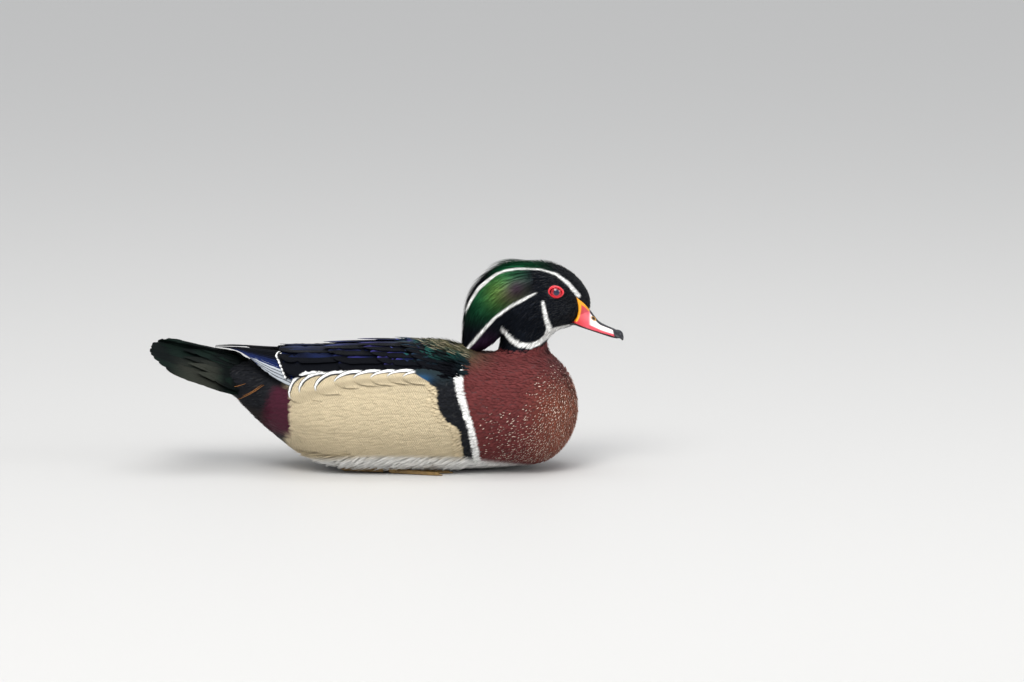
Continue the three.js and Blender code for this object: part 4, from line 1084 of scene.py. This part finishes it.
def wingTint(f, c, t, p):
    # c runs from the feather's upper edge (-1) to its lower edge (1)
    x, z = p[..., 0], p[..., 2]
    upper = softStep(-c, -0.1, 0.7)
    if f["kind"] == "primary":
        matt = softStep(f["share"], 0.5, 0.75)
        silver = softStep(c, -0.1, 0.02) * (1 - softStep(t, 0.86, 1.0)) * (f["share"] < 0.35)
        silver = silver * (1 - softStep(z, 90, 93.5))
        layers = [("sheenBlue", 0.4 + 0.5 * upper), ("darkWeb", matt), ("silver", silver),
                  ("darkWeb", softStep(c, 0.84, 0.95) * silver)]
        gloss = (1 - silver) * (1 - matt)
    elif f["kind"] == "secondary":
        white = softStep(t + 0.02 * c ** 2, 0.962, 0.970)
        layers = [("sheenBlue", 0.7), ("darkWeb", softStep(t, 0.80, 0.84) * (1 - white)), ("white", white)]
        gloss = 1 - white
    else:
        # painted sheen: the feathers' own blue and violet iridescence, laid on the upper web of the upper
        # feathers and only high on the wing, where the light catches it; blue behind and violet in front, in
        # patches
        sheen, sea = {"tertial": (0.55, 0), "scapular": (0.9, 0), "shoulder": (0.7, 0.75)}[f["kind"]]
        patchy = 0.55 + 0.45 * np.sin(x * 0.16 + f["share"] * 9) * np.sin(z * 0.35 + x * 0.05)
        height = softStep(z, 86, 96)
        violet = softStep(x, -52, -14) * softStep(t, 0.45, 0.85)
        tone = layered(paint["sheenBlue"], [("violet", violet), ("sea", sea)])
        layers = [(tone, upper * sheen * height * patchy * (0.25 + 0.75 * softStep(t, 0.3, 0.8)))]
        gloss = height * (0.3 + 0.7 * patchy)
    return withGloss(layered(paint["darkWeb"], layers), gloss)


for hand, label in hands:
    for part, seed, nodes in (("flight", 50, ()), ("shoulder", 60, ("wing_" + label,))):
        name = part + "_feathers_" + label
        made = bigFeathers(name, shellPoint, wing[part], hand, wingTint, seed + hand)
        dress(made, flightFinish, "wing_plumage", *nodes)

# Flank plumes with a black edge, a white band and a black line at their tips, from the rear one, whose tip
# hangs lowest, to the one in front, each over the one behind.
plumes = {
    # each tip's place and angle, the root's angle, half width and arch
    "spots": [(-77, 1.34, 1.20, 13.0, 0.146), (-69, 1.19, 1.12, 11.5, 0.06), (-56.5, 1.146, 1.06, 9.5, 0.077),
              (-41, 1.03, 1.0, 7.5, 0.04), (-26, 0.985, 0.99, 6.8, 0.025), (-12.5, 0.985, 0.99, 6.5, 0.02),
              (0.5, 0.975, 0.99, 6.2, 0.02), (13, 0.985, 1.0, 6.0, 0.02)],
    "look": {"start": 0.6, "tipShare": 0.5, "early": 0.7, "lean": -0.4, "tuck": 2.6, "cup": 0.02,
             "thick": 0.2, "splits": 0},
    "length": 36,
    # how deep each colour of the edge reaches in, from the innermost
    "edge": (("black", 4.7, 5.5), ("white", 2.7, 3.5), ("black", 0.3, 0.9)),
}


def plumeRow():
    made = []
    for i, (x, angle, rootAngle, half, arch) in enumerate(plumes["spots"]):
        made.append({**plumes["look"], "share": i / (len(plumes["spots"]) - 1), "half": half, "bend": -arch,
                     "root": (x + plumes["length"], rootAngle), "tip": (x, angle),
                     "lift": (-3.0, 1.5 + 0.16 * i)})
    return made


def plumeTint(f, c, t, p):
    # a black edge, a white band and a black line follow the upper edge and the tip, at depths in millimetres
    length = np.linalg.norm(np.diff(p[:, p.shape[1] // 2], axis=0), axis=1).sum()
    side = c * vaneWidth(f, t) * f["half"]
    inward = np.zeros(c.shape)
    for depth in np.arange(0.2, 6.5, 0.2):
        shorter = length - depth
        within = vaneWidth(f, np.clip(t * length / shorter, 0, 1)) * (f["half"] - depth)
        inward = np.where((np.abs(side) < within) & (t * length < shorter), depth, inward)
    turned = side / f["half"] + 0.25 * softStep(f["share"], 0.25, 0.5)
    inward = inward / mix(0.62, 0.88, softStep(f["share"], 0.1, 0.45))
    inward = inward * (1 + 2 * softStep(turned, -0.25, 0.3))
    shown = softStep(t, 0.2, 0.4) * (1 - softStep(turned, 0.05, 0.3))
    layers = [(colour, shown * (1 - softStep(inward, low, high))) for colour, low, high in plumes["edge"]]
    front = softStep(p[..., 0] - markLine["blackBack"](p[..., 2]), -1, 1.5)
    return withGloss(layered(paint["tan"], layers + [(bodyTint(p), front)]))


for hand, label in hands:
    made = bigFeathers("flank_plumes_" + label, flankPoint, plumeRow(), hand, plumeTint, 70 + hand,
                       np.linspace(-1, 1, 41), 44)
    dress(made, flankFinish, "flank_plumage")

# Tail: seven pairs, the middle pair on top, with coverts over and under their roots.
tailLook = {
    "half": 8.0, "start": 0.7, "tipShare": 0.24, "blunt": 2.2, "cup": 0.03, "thick": 0.35, "splits": 1,
    "inside": (-150, 0, 40),
}
covertLook = {
    "half": 6.0, "start": 0.7, "tipShare": 0.7, "blunt": 1.4, "early": 0.35, "cup": 0.05, "thick": 0.15,
    "splits": 1, "inside": (-150, 0, 40),
}
covertTiers = ((0.72, 9), (0.56, 10), (0.4, 9))   # how far down the tail each tier reaches, and its count


def tailRow():
    made = []
    for i in range(14):
        pair = 6 - i // 2
        side = (1 if i % 2 else -1) * (pair + 0.5) / 6.5
        made.append({**tailLook, "share": abs(side), "root": (0.02, side), "tip": (1.0, side),
                     "lean": -0.35 * np.sign(side), "lift": (-1.2 - 0.3 * pair, -0.6 - 0.3 * pair)})
    return made


def tailCoverts():
    made = []
    for tier, (reach, count) in enumerate(covertTiers):
        for i in range(count):
            side = mix(-0.98, 0.98, i / (count - 1))
            high = 0.2 + 0.3 * tier + 3.0 * max(0, 1 - 2 * abs(side))
            made.append({**covertLook, "share": abs(side), "root": (0.0, side), "lean": -0.3 * np.sign(side),
                         "tip": (reach - 0.1 * abs(side), side * 0.96), "lift": (-0.8, high)})
    return made


def tailTint(f, c, t, p):
    back = -p[..., 0]
    # painted highlight: a grey sheen across the outer feathers part way down the tail
    greyHighlight = softStep(back, 128, 140) * (1 - softStep(back, 156, 176)) * softStep(f["share"], 0.4, 0.7)
    green = softStep(np.sin(t * 9 + f["share"] * 7), -0.2, 1)
    return withGloss(layered(paint["tailDark"], [("tailGreen", 0.6 * green), ("tailHighlightGrey", 0.8 * greyHighlight)]), 0.3)


vanes = bigFeathers("tail_feathers", tailPoint, tailRow(), 1, tailTint, 81)
dress(vanes, flightFinish, "back_plumage", "tail")
vanes = bigFeathers("tail_coverts", tailPoint, tailCoverts(), 1, tailTint, 82)
dress(vanes, flightFinish, "back_plumage")


# Small shoulder feathers over the roots of the wing's rows, and pale streaks where mantle meets breast.
def onShoulder(p):
    x, y, z = p[..., 0], p[..., 1], p[..., 2]
    nearCrest = (np.abs(y) < 9) & (x > 50)
    return (x > 10) & (x < 66) & (z > 80) & (aboutAngle(p) < 1.04) & ~isHead(p) & ~nearCrest


def onMantle(p):
    return onShoulder(p) & (p[..., 0] > 14)


def thinOut(roots):
    return np.random.default_rng(3).uniform(0, 1, len(roots)) < softStep(roots[:, 0], 8, 40)


def alongMantle(roots):
    off = np.abs(roots[:, 2] - (106 - 0.25 * (roots[:, 0] - 22)))
    return (off < 5) & (np.random.default_rng(6).uniform(0, 1, len(roots)) < 0.7)


def shoulderTint(p):
    x, y, z = p[..., 0], p[..., 1], p[..., 2]
    # painted sheen: the sea green and violet are the feathers' own iridescence, laid only high on the
    # shoulder, where the light catches it
    high = softStep(z, 90, 97)
    olive = softStep(z - (105 - 0.22 * np.maximum(0, x - 20)), -3, 3) * softStep(x, 12, 40)
    return withGloss(layered(paint["darkWeb"], [
        ("sea", 0.75 * high * wave(x * 0.42 + z * 0.9 + np.sin(y * 0.31) * 2)),
        ("violet", 0.7 * high * (1 - softStep(x, 8, 30)) * wave(x * 0.6 - z * 0.7)),
        ("olive", 0.9 * olive),
        ("teal", 0.6 * softStep(x, 50, 62) * (1 - olive)),
    ]), 0.7 * (1 - olive))


def streakTint(p):
    return withGloss(mix(paint["olive"], paint["tan"], 0.55) + 0 * p)


shoulderCoat = {
    "where": onShoulder, "spacing": 2.2, "seeds": (17, 19), "keep": thinOut, "length": 9.0, "width": 2.5,
    "rise": 3.0, "sink": 0.9, "shape": "lance", "stray": 0.14, "pull": 0.5, "span": (-6, 72),
    "tint": shoulderTint, "finish": flightFinish, "slot": "wing_plumage",
}
growCoat("shoulder_coat", shoulderCoat)
mantleStreaks = {
    "where": onMantle, "spacing": 2.4, "seeds": (27, 29), "keep": alongMantle, "length": 6.5, "width": 0.7,
    "rise": 3.6, "sink": 2.0, "shape": "fleck", "stray": 0.16, "columns": 2, "span": (-6, 72),
    "tint": streakTint, "slot": "back_plumage",
}
growCoat("mantle_streaks", mantleStreaks)


# Feathers that hang over the folded feet.
def overFeet(p):
    return (p[..., 2] > 5) & (p[..., 2] < 17) & (np.abs(p[..., 0] - 2) < 66) & (np.abs(p[..., 1]) > 30)


bellyFringe = {
    "where": overFeet, "spacing": 1.5, "seeds": (37, 39), "length": 12.0, "width": 1.7, "rise": 3.0,
    "sink": -0.2, "shape": "lance", "stray": 0.16, "span": (-66, 70), "lie": skirtLie,
    "finish": flankFinish, "slot": "flank_plumage",
}
growCoat("belly_fringe", bellyFringe)

# Thin rusty plumes that lie over the side of the rump.
rumpHairs = {
    "spots": [((-97, 71.5), (-119, 57.5)), ((-99, 71.5), (-114, 61.5)), ((-112, 71.5), (-126, 67.5))],
    "look": {"half": 0.2, "start": 0.6, "tipShare": 0.6, "blunt": 1.6, "lift": (0.6, 1.6), "cup": 0,
             "thick": 0.15, "splits": 0, "bend": -0.6, "inside": (-100, 0, 60)},
}


def rumpSide(x, z):
    return joined(x, barrelSide(body, bodyLine, x, z), z)


def hairTint(f, c, t, p):
    return withGloss(paint["hair"] + 0 * p)


for hand, label in hands:
    made = [{**rumpHairs["look"], "root": root, "tip": tip} for root, tip in rumpHairs["spots"]]
    made = bigFeathers("rump_hairs_" + label, rumpSide, made, hand, hairTint, 90 + hand)
    dress(made, coatFinish, "back_plumage")

# Bill.
bill = {
    "ridge": [[149, 139], [152, 137.2], [157, 132.6], [161.5, 126.6], [168.7, 117.6], [174, 114.6],
              [179, 112.4], [184, 110], [188.4, 105]],
    "edge": [[149, 118.2], [157, 114.3], [167, 110.6], [179, 107], [188.4, 103.4]],
    "under": [[149, 115], [157, 112.2], [167, 108.8], [179, 104.6], [188.4, 101.6]],
    "half": [[149, 14.1], [153, 12.6], [157, 10.7], [162, 9.2], [169, 8.2], [178, 7.8], [184, 7.2],
             [188.4, 5]],
    "start": 145.0,
    "end": 188.4,
    "nostril": (163.9, 120.6),
    "nostrilDepth": 1.6,
    "ribs": (0.12, 1.1),                          # height and spacing of the ribs along the cutting edge
    "voxel": 0.4,
    "lowerVoxel": 0.45,
    # the nail curves over the bill's tip and hooks down past it: a place and a radius at each bend
    "nail": [(181.5, 108.9, 2.6), (184.4, 107.4, 3.0), (186.4, 104.8, 1.8), (187.3, 102.4, 0.5)],
}
billLine = smoothLines({name: bill[name] for name in ("ridge", "edge", "under", "half")})


def billPoint(x, angle):
    # the edge of the upper bill rolls slightly outward, and dips a little under it
    tipFull = roundedEnd(x, bill["end"] - 9, bill["end"] + 0.01)
    ridge, edge = billLine["ridge"](x), billLine["edge"](x)
    high = np.cos(angle)
    rise = np.where(high > 0, (ridge - edge) * np.abs(high) ** 1.15, 0)
    z = edge + rise * (0.2 + 0.8 * tipFull) + np.where(high < 0, 0.5 * high * tipFull, 0)
    half = billLine["half"](x) * (0.25 + 0.75 * tipFull)
    return joined(x, half * signedPower(np.sin(angle), np.where(high > 0, 0.85, 1.0)), z)


def lowerBillPoint(x, angle):
    tipFull = roundedEnd(x, 176, 184.01)
    edge, under = billLine["edge"](x) - 0.6, billLine["under"](x)
    high = np.cos(angle)
    half = billLine["half"](x) * 0.86 * (0.3 + 0.7 * tipFull)
    return joined(x, half * np.sin(angle), np.where(high > 0, edge, edge + (edge - under) * high * tipFull))


def nostrilGap(x, z):
    # distance from the nostril's middle, drawn out along the bill
    dx, dz = x - bill["nostril"][0], z - bill["nostril"][1]
    return np.hypot(dx * 0.76 - dz * 0.64, (dx * 0.64 + dz * 0.76) * 2.0)


def billTint(p):
    x, z = p[..., 0], p[..., 2]
    edge, ridge = billLine["edge"](x), billLine["ridge"](x)
    # pale patch on the side, from the nostril to the nail
    pale = softStep(x, 159.6, 162.6) * softStep(z - edge - mix(3.2, 1.8, softStep(x, 160, 174)), -0.5, 0.6)
    # yellow border along the face and the forehead
    border = x - markLine["face"](z) - mix(2.5, 1.5, softStep(136 - z, 0, 16))
    yellow = (1 - softStep(border, -0.5, 0.5)) * softStep(z, 118.5, 120.5)
    along = mix(3.6, 2.2, softStep(x, 150, 160)) * (1 - softStep(x, 160, 161.4))
    yellow = np.maximum(yellow, 1 - softStep(markLine["ridge"](x) - z - along, -0.4, 0.4))
    # black ridge stripe and nail
    stripe = 1 - softStep(ridge - z - mix(2.0, 1.0, softStep(x, 163, 177)), -0.3, 0.3)
    black = np.maximum(stripe * softStep(x, 160, 161.6), softStep(x + 0.25 * (z - 108), 179.6, 180.4))
    hollow = nostrilGap(x, z)
    return withGloss(layered(paint["red"], [
        ("pink", softStep(x, 152, 160)), ("pale", pale), ("yellow", yellow), ("billBlack", black),
        ("nostrilRim", 0.8 * (1 - softStep(hollow, 2.2, 3.0))), ("billBlack", 1 - softStep(hollow, 1.3, 1.9)),
    ]))


def facePlate():
    # bare horn that runs up the left side of the face, laid on the head
    x = np.linspace(147, 163, 60)[:, None]
    level = np.linspace(0.02, 0.98, 40)[None]
    z = mix(billLine["edge"](x) + 1.0, np.minimum(markLine["ridge"](x), 140.2), level)
    inside = softStep(x - markLine["face"](z), -1.2, 0.2)
    y = barrelSide(head, headLine, x, z, 1 / head["powers"][0], 1 / head["powers"][1])
    y = y + 0.55 * inside - 3.0 * (1 - inside)
    outer, inner = joined(x, np.maximum(y, 0.8), z), joined(x, np.maximum(y - 2.4, 0.4), z)
    return np.concatenate([outer, inner[:, ::-1]], 1)


def nailRings(turn):
    bends = splineThrough(bill["nail"])(np.linspace(0, 1, 24))
    heading = unit(np.gradient(bends[:, :2], axis=0))
    outward = joined(-heading[:, 1], 0, heading[:, 0])
    ring = np.cos(turn)[:, None] * np.array([0, 1.3, 0]) + np.sin(turn)[:, None] * outward[:, None]
    return joined(bends[:, 0], 0, bends[:, 1])[:, None] + bends[:, 2, None, None] * ring


def hornFinish(name, roughness, mottle):
    # smooth horn with faint mottling and pores
    made, cloud = mottledFinish(name, 260.0, 4.0, mottle, 1 - mottle / 2)
    rough = made.maths("MULTIPLY_ADD", cloud, 0.2, roughness - 0.1)
    made.feed(made.shader, {"Roughness": rough, "Coat Weight": 0.15, "Coat Roughness": 0.2})
    made.relief(made.noise(1500.0, 2.0), 0.25, 0.0001)
    return made


print("bill")
turn = np.linspace(0, 2 * math.pi, 72, endpoint=False)
stations = np.linspace(bill["start"], bill["end"] - 1.0, 90)[:, None]
plate = facePlate()
horn = [billPoint(stations, turn), nailRings(turn), plate, plate * np.array([1, -1, 1])]
upperBill = fused("upper_bill_horn", [closedLoft(rings) for rings in horn], bill["voxel"], 5)
p = pointsOf(upperBill)
hollow = 1 - softStep(nostrilGap(p[:, 0], p[:, 2]), 0.9, 2.2)
p[:, 1] -= np.sign(p[:, 1]) * bill["nostrilDepth"] * hollow * (np.abs(p[:, 1]) > 1.2)
# behind the face line the horn sinks into the head
p[:, 1] *= 1 - 0.3 * softStep(markLine["face"](p[:, 2]) + 0.4 - p[:, 0], 0, 1.6)
# faint ribs along the cutting edge
overEdge = p[:, 2] - billLine["edge"](p[:, 0])
height, spacing = bill["ribs"]
ribs = height * np.sin(p[:, 0] * 2 * math.pi / spacing) * np.exp(-((overEdge - 0.6) / 0.7) ** 2)
p[:, 1] += np.sign(p[:, 1]) * ribs
setPoints(upperBill.data, p)
addValue(upperBill.data, "tint", billTint(p))
dress(upperBill, hornFinish("bill_horn_finish", 0.38, 0.35), "bill_horn", "upper_bill")

stations = np.linspace(bill["start"], 183.9, 70)[:, None]
lowerBill = fused("lower_bill_horn", [closedLoft(lowerBillPoint(stations, turn))], bill["lowerVoxel"], 2)
addValue(lowerBill.data, "tint", withGloss(paint["billBlack"] + 0 * pointsOf(lowerBill)))
dress(lowerBill, hornFinish("dark_horn_finish", 0.42, 0.5), "dark_horn", "lower_bill")

# Eyes: a ball with its iris and pupil, and the bare red ring of skin round it.
eye = {
    "centre": (134.0, 14.2, 143.2),
    "radius": 6.0,
    "sight": (0.06, 1.0, 0.05),
    "pupil": 24.0,                                # degrees from the line of sight
    "iris": 46.0,
    "ringReach": (5.2, 4.45),                     # half length and half height of the ring's middle
    "ringThick": 0.66,
    "ringTilt": 0.12,
    "ringProud": 0.25,                            # how far the ring stands off the ball
}


def eyeBall():
    steps, turns = 48, 64
    a = (np.linspace(0, 1, steps) ** 1.2 * math.pi * 0.7)[:, None]
    b = np.linspace(0, 2 * math.pi, turns, endpoint=False)[None]
    sight = unit(np.array(eye["sight"]))
    level = unit(np.cross(sight, np.array([0, 0, 1.0])))
    r = eye["radius"] * (1 + 0.05 * np.exp(-(a / 0.55) ** 2)) * 0.985
    points = np.array(eye["centre"]) + (r * np.cos(a))[..., None] * sight
    points = points + (r * np.sin(a) * np.cos(b))[..., None] * level
    points = points + (r * np.sin(a) * np.sin(b))[..., None] * np.cross(level, sight)
    degrees = np.degrees(a + 0 * b)
    ray = wave(b * 34 + np.sin(b * 7) * 3)
    # painted light: the iris is made brighter below than above, as light falls through the eye; the rays are
    # the iris's own pattern
    light = (0.55 + 0.45 * ray * softStep(degrees, 20, 34)) * (0.6 + 0.9 * wave(-b))
    tint = layered(paint["eyeDark"], [
        (paint["iris"] * light[..., None], 1 - softStep(degrees, eye["iris"] - 1, eye["iris"] + 1)),
        ("pupil", 1 - softStep(degrees, eye["pupil"] - 0.8, eye["pupil"] + 0.8)),
    ])
    return points, gridQuads(steps, turns, around=True)[:, ::-1], withGloss(tint)


def eyeRing():
    # a soft fold of bare skin, wider before and behind, with wrinkles and a pale rim
    turns, sides = 120, 20
    a = np.linspace(0, 2 * math.pi, turns, endpoint=False)[:, None]
    b = np.linspace(0, 2 * math.pi, sides, endpoint=False)[None]
    across = eye["ringReach"][0] + 0.45 * np.abs(np.cos(a)) ** 6
    tall = eye["ringReach"][1] + 0.05 * np.sin(a)
    thick = eye["ringThick"] + 0.08 * np.sin(a * 3 + 1) + 0.04 * np.sin(a * 23)
    x = np.cos(a) * (across + thick * np.cos(b))
    z = np.sin(a) * (tall + thick * np.cos(b)) + 0.4
    x = x * np.cos(eye["ringTilt"]) - z * np.sin(eye["ringTilt"])
    # laid on the ball, its inner side reaching back to the head
    onBall = np.sqrt(np.maximum(0, eye["radius"] ** 2 - x ** 2 - (z - 0.4) ** 2))
    fold = np.where(np.sin(b) > 0, 0.6, 3.2) * thick * np.sin(b)
    depth = np.maximum(onBall, 2.6) + 0.09 * np.abs(x) + eye["ringProud"] + fold
    tint = layered(paint["ring"], [("ringEdge", 0.6 * softStep(np.cos(b) + 0 * a, 0.2, 0.9))])
    quads = gridQuads(turns + 1, sides, around=True) % (turns * sides)
    return np.array(eye["centre"]) + joined(x, depth, z), quads, withGloss(tint)


wetEye, fleck = mottledFinish("wet_eye", 2600.0, 2.0, 0.6, 0.7)
wetEye.feed(wetEye.shader, {"Roughness": 0.25, "Specular IOR Level": 0.3, "Coat Weight": 0.7,
                            "Coat Roughness": 0.03})
ringSkin = hornFinish("eye_ring_skin", 0.45, 0.3)
eyeParts = (("eye_ball_", eyeBall, wetEye, "eye", "eye_"),
            ("eye_lid_", eyeRing, ringSkin, "eye_skin", "eye_ring_"))
for hand, label in hands:
    for name, make, finish, slotName, node in eyeParts:
        points, quads, tint = make()
        quads = quads if hand > 0 else quads[:, ::-1]
        piece = meshPiece(name + label, points * np.array([1, hand, 1]), quads, (), {"tint": tint})
        dress(piece, finish, slotName, node + label)

# Feet: the solids stay, with scaly skin.
scaly = Finish("foot_scales")
scales = scaly.add("TexVoronoi", {"Scale": 620.0, "Vector": scaly.place}, feature="DISTANCE_TO_EDGE")
edge = scaly.maths("MULTIPLY", scales.outputs["Distance"], 7.0, clamp=True)
ramp = scaly.add("ValToRGB", {"Fac": scaly.maths("MULTIPLY", edge, scaly.noise(120.0))})
ramp.color_ramp.elements[0].color = (0.12, 0.07, 0.025, 1)
ramp.color_ramp.elements[1].color = (0.40, 0.25, 0.07, 1)
scaly.feed(scaly.shader, {"Base Color": ramp.outputs["Color"], "Roughness": 0.5})
scaly.relief(edge, 0.6, 0.0003)
for name in ("leg_left", "foot_left", "leg_right", "foot_right"):
    foot = bpy.data.objects[name].data
    foot.materials.clear()
    foot.materials.append(scaly.material)

# Stage: pale floor and soft light, seen from far off on the bird's right.
view = {
    "target": (99.1, 0.0, 101.9),                 # where the picture's middle falls, bird millimetres
    "distance": 6.0,
    "elevation": 8.0,
    "frameWidth": 0.815,                          # metres across the picture at the bird
    "sensor": 36.0,
    "floorReach": 12.0,
    "floor": (0.56, 0.555, 0.545, 1),
    "sky": (0.72, 0.74, 0.77, 1),
    "skyStrength": 0.64,
}


def addLamp(name, kind, place, target, energy, **settings):
    light = bpy.data.lights.new(name, kind)
    light.energy = energy
    for key, value in settings.items():
        setattr(light, key, value)
    lamp = addObject(name, light)
    lamp.location = place
    lamp.rotation_euler = (Vector(target) - Vector(place)).to_track_quat("-Z", "Y").to_euler()


print("stage")
floorMesh = bpy.data.meshes.new("floor")
reach = view["floorReach"]
corners = [(-reach, -reach, 0), (reach, -reach, 0), (reach, reach, 0), (-reach, reach, 0)]
floorMesh.from_pydata(corners, [], [(0, 1, 2, 3)])
floorFinish = Finish("pale_floor")
floorFinish.feed(floorFinish.shader, {"Base Color": view["floor"], "Roughness": 0.6})
floorMesh.materials.append(floorFinish.material)
floor = addObject("floor", floorMesh)

panel = {"shape": "RECTANGLE", "size": 1.0, "size_y": 1.0}
addLamp("key", "AREA", (-0.5, -1.6, 1.9), (0.0, 0, 0.08), 29, **panel, color=(1.0, 0.98, 0.95))
addLamp("top", "AREA", (0.1, 0.3, 2.2), (0.0, 0, 0.08), 16, **{**panel, "size": 1.8, "size_y": 1.2})
addLamp("front", "AREA", (1.9, -0.9, 0.9), (0.05, 0, 0.08), 13, **panel)
# a broad even light that keeps the floor as pale far off as it is near
addLamp("broad", "SUN", (0, 0, 0), (0.4, 1.6, -2.2), 1.7, angle=0.9)

scene = bpy.context.scene
scene.view_settings.view_transform = "Standard"
scene.world = bpy.data.worlds.new("studio")
scene.world.use_nodes = True
sky = scene.world.node_tree.nodes["Background"].inputs
sky["Color"].default_value = view["sky"]
sky["Strength"].default_value = view["skyStrength"]

lens = bpy.data.cameras.new("camera")
lens.sensor_width = view["sensor"]
lens.lens = view["sensor"] * view["distance"] / view["frameWidth"]
lens.clip_end = 50
camera = addObject("camera", lens)
tilt = math.radians(view["elevation"])
target = toRow([view["target"]])[0]
camera.location = target + view["distance"] * np.array([0, -math.cos(tilt), math.sin(tilt)])
camera.rotation_euler = (math.pi / 2 - tilt, 0, 0)
scene.camera = camera
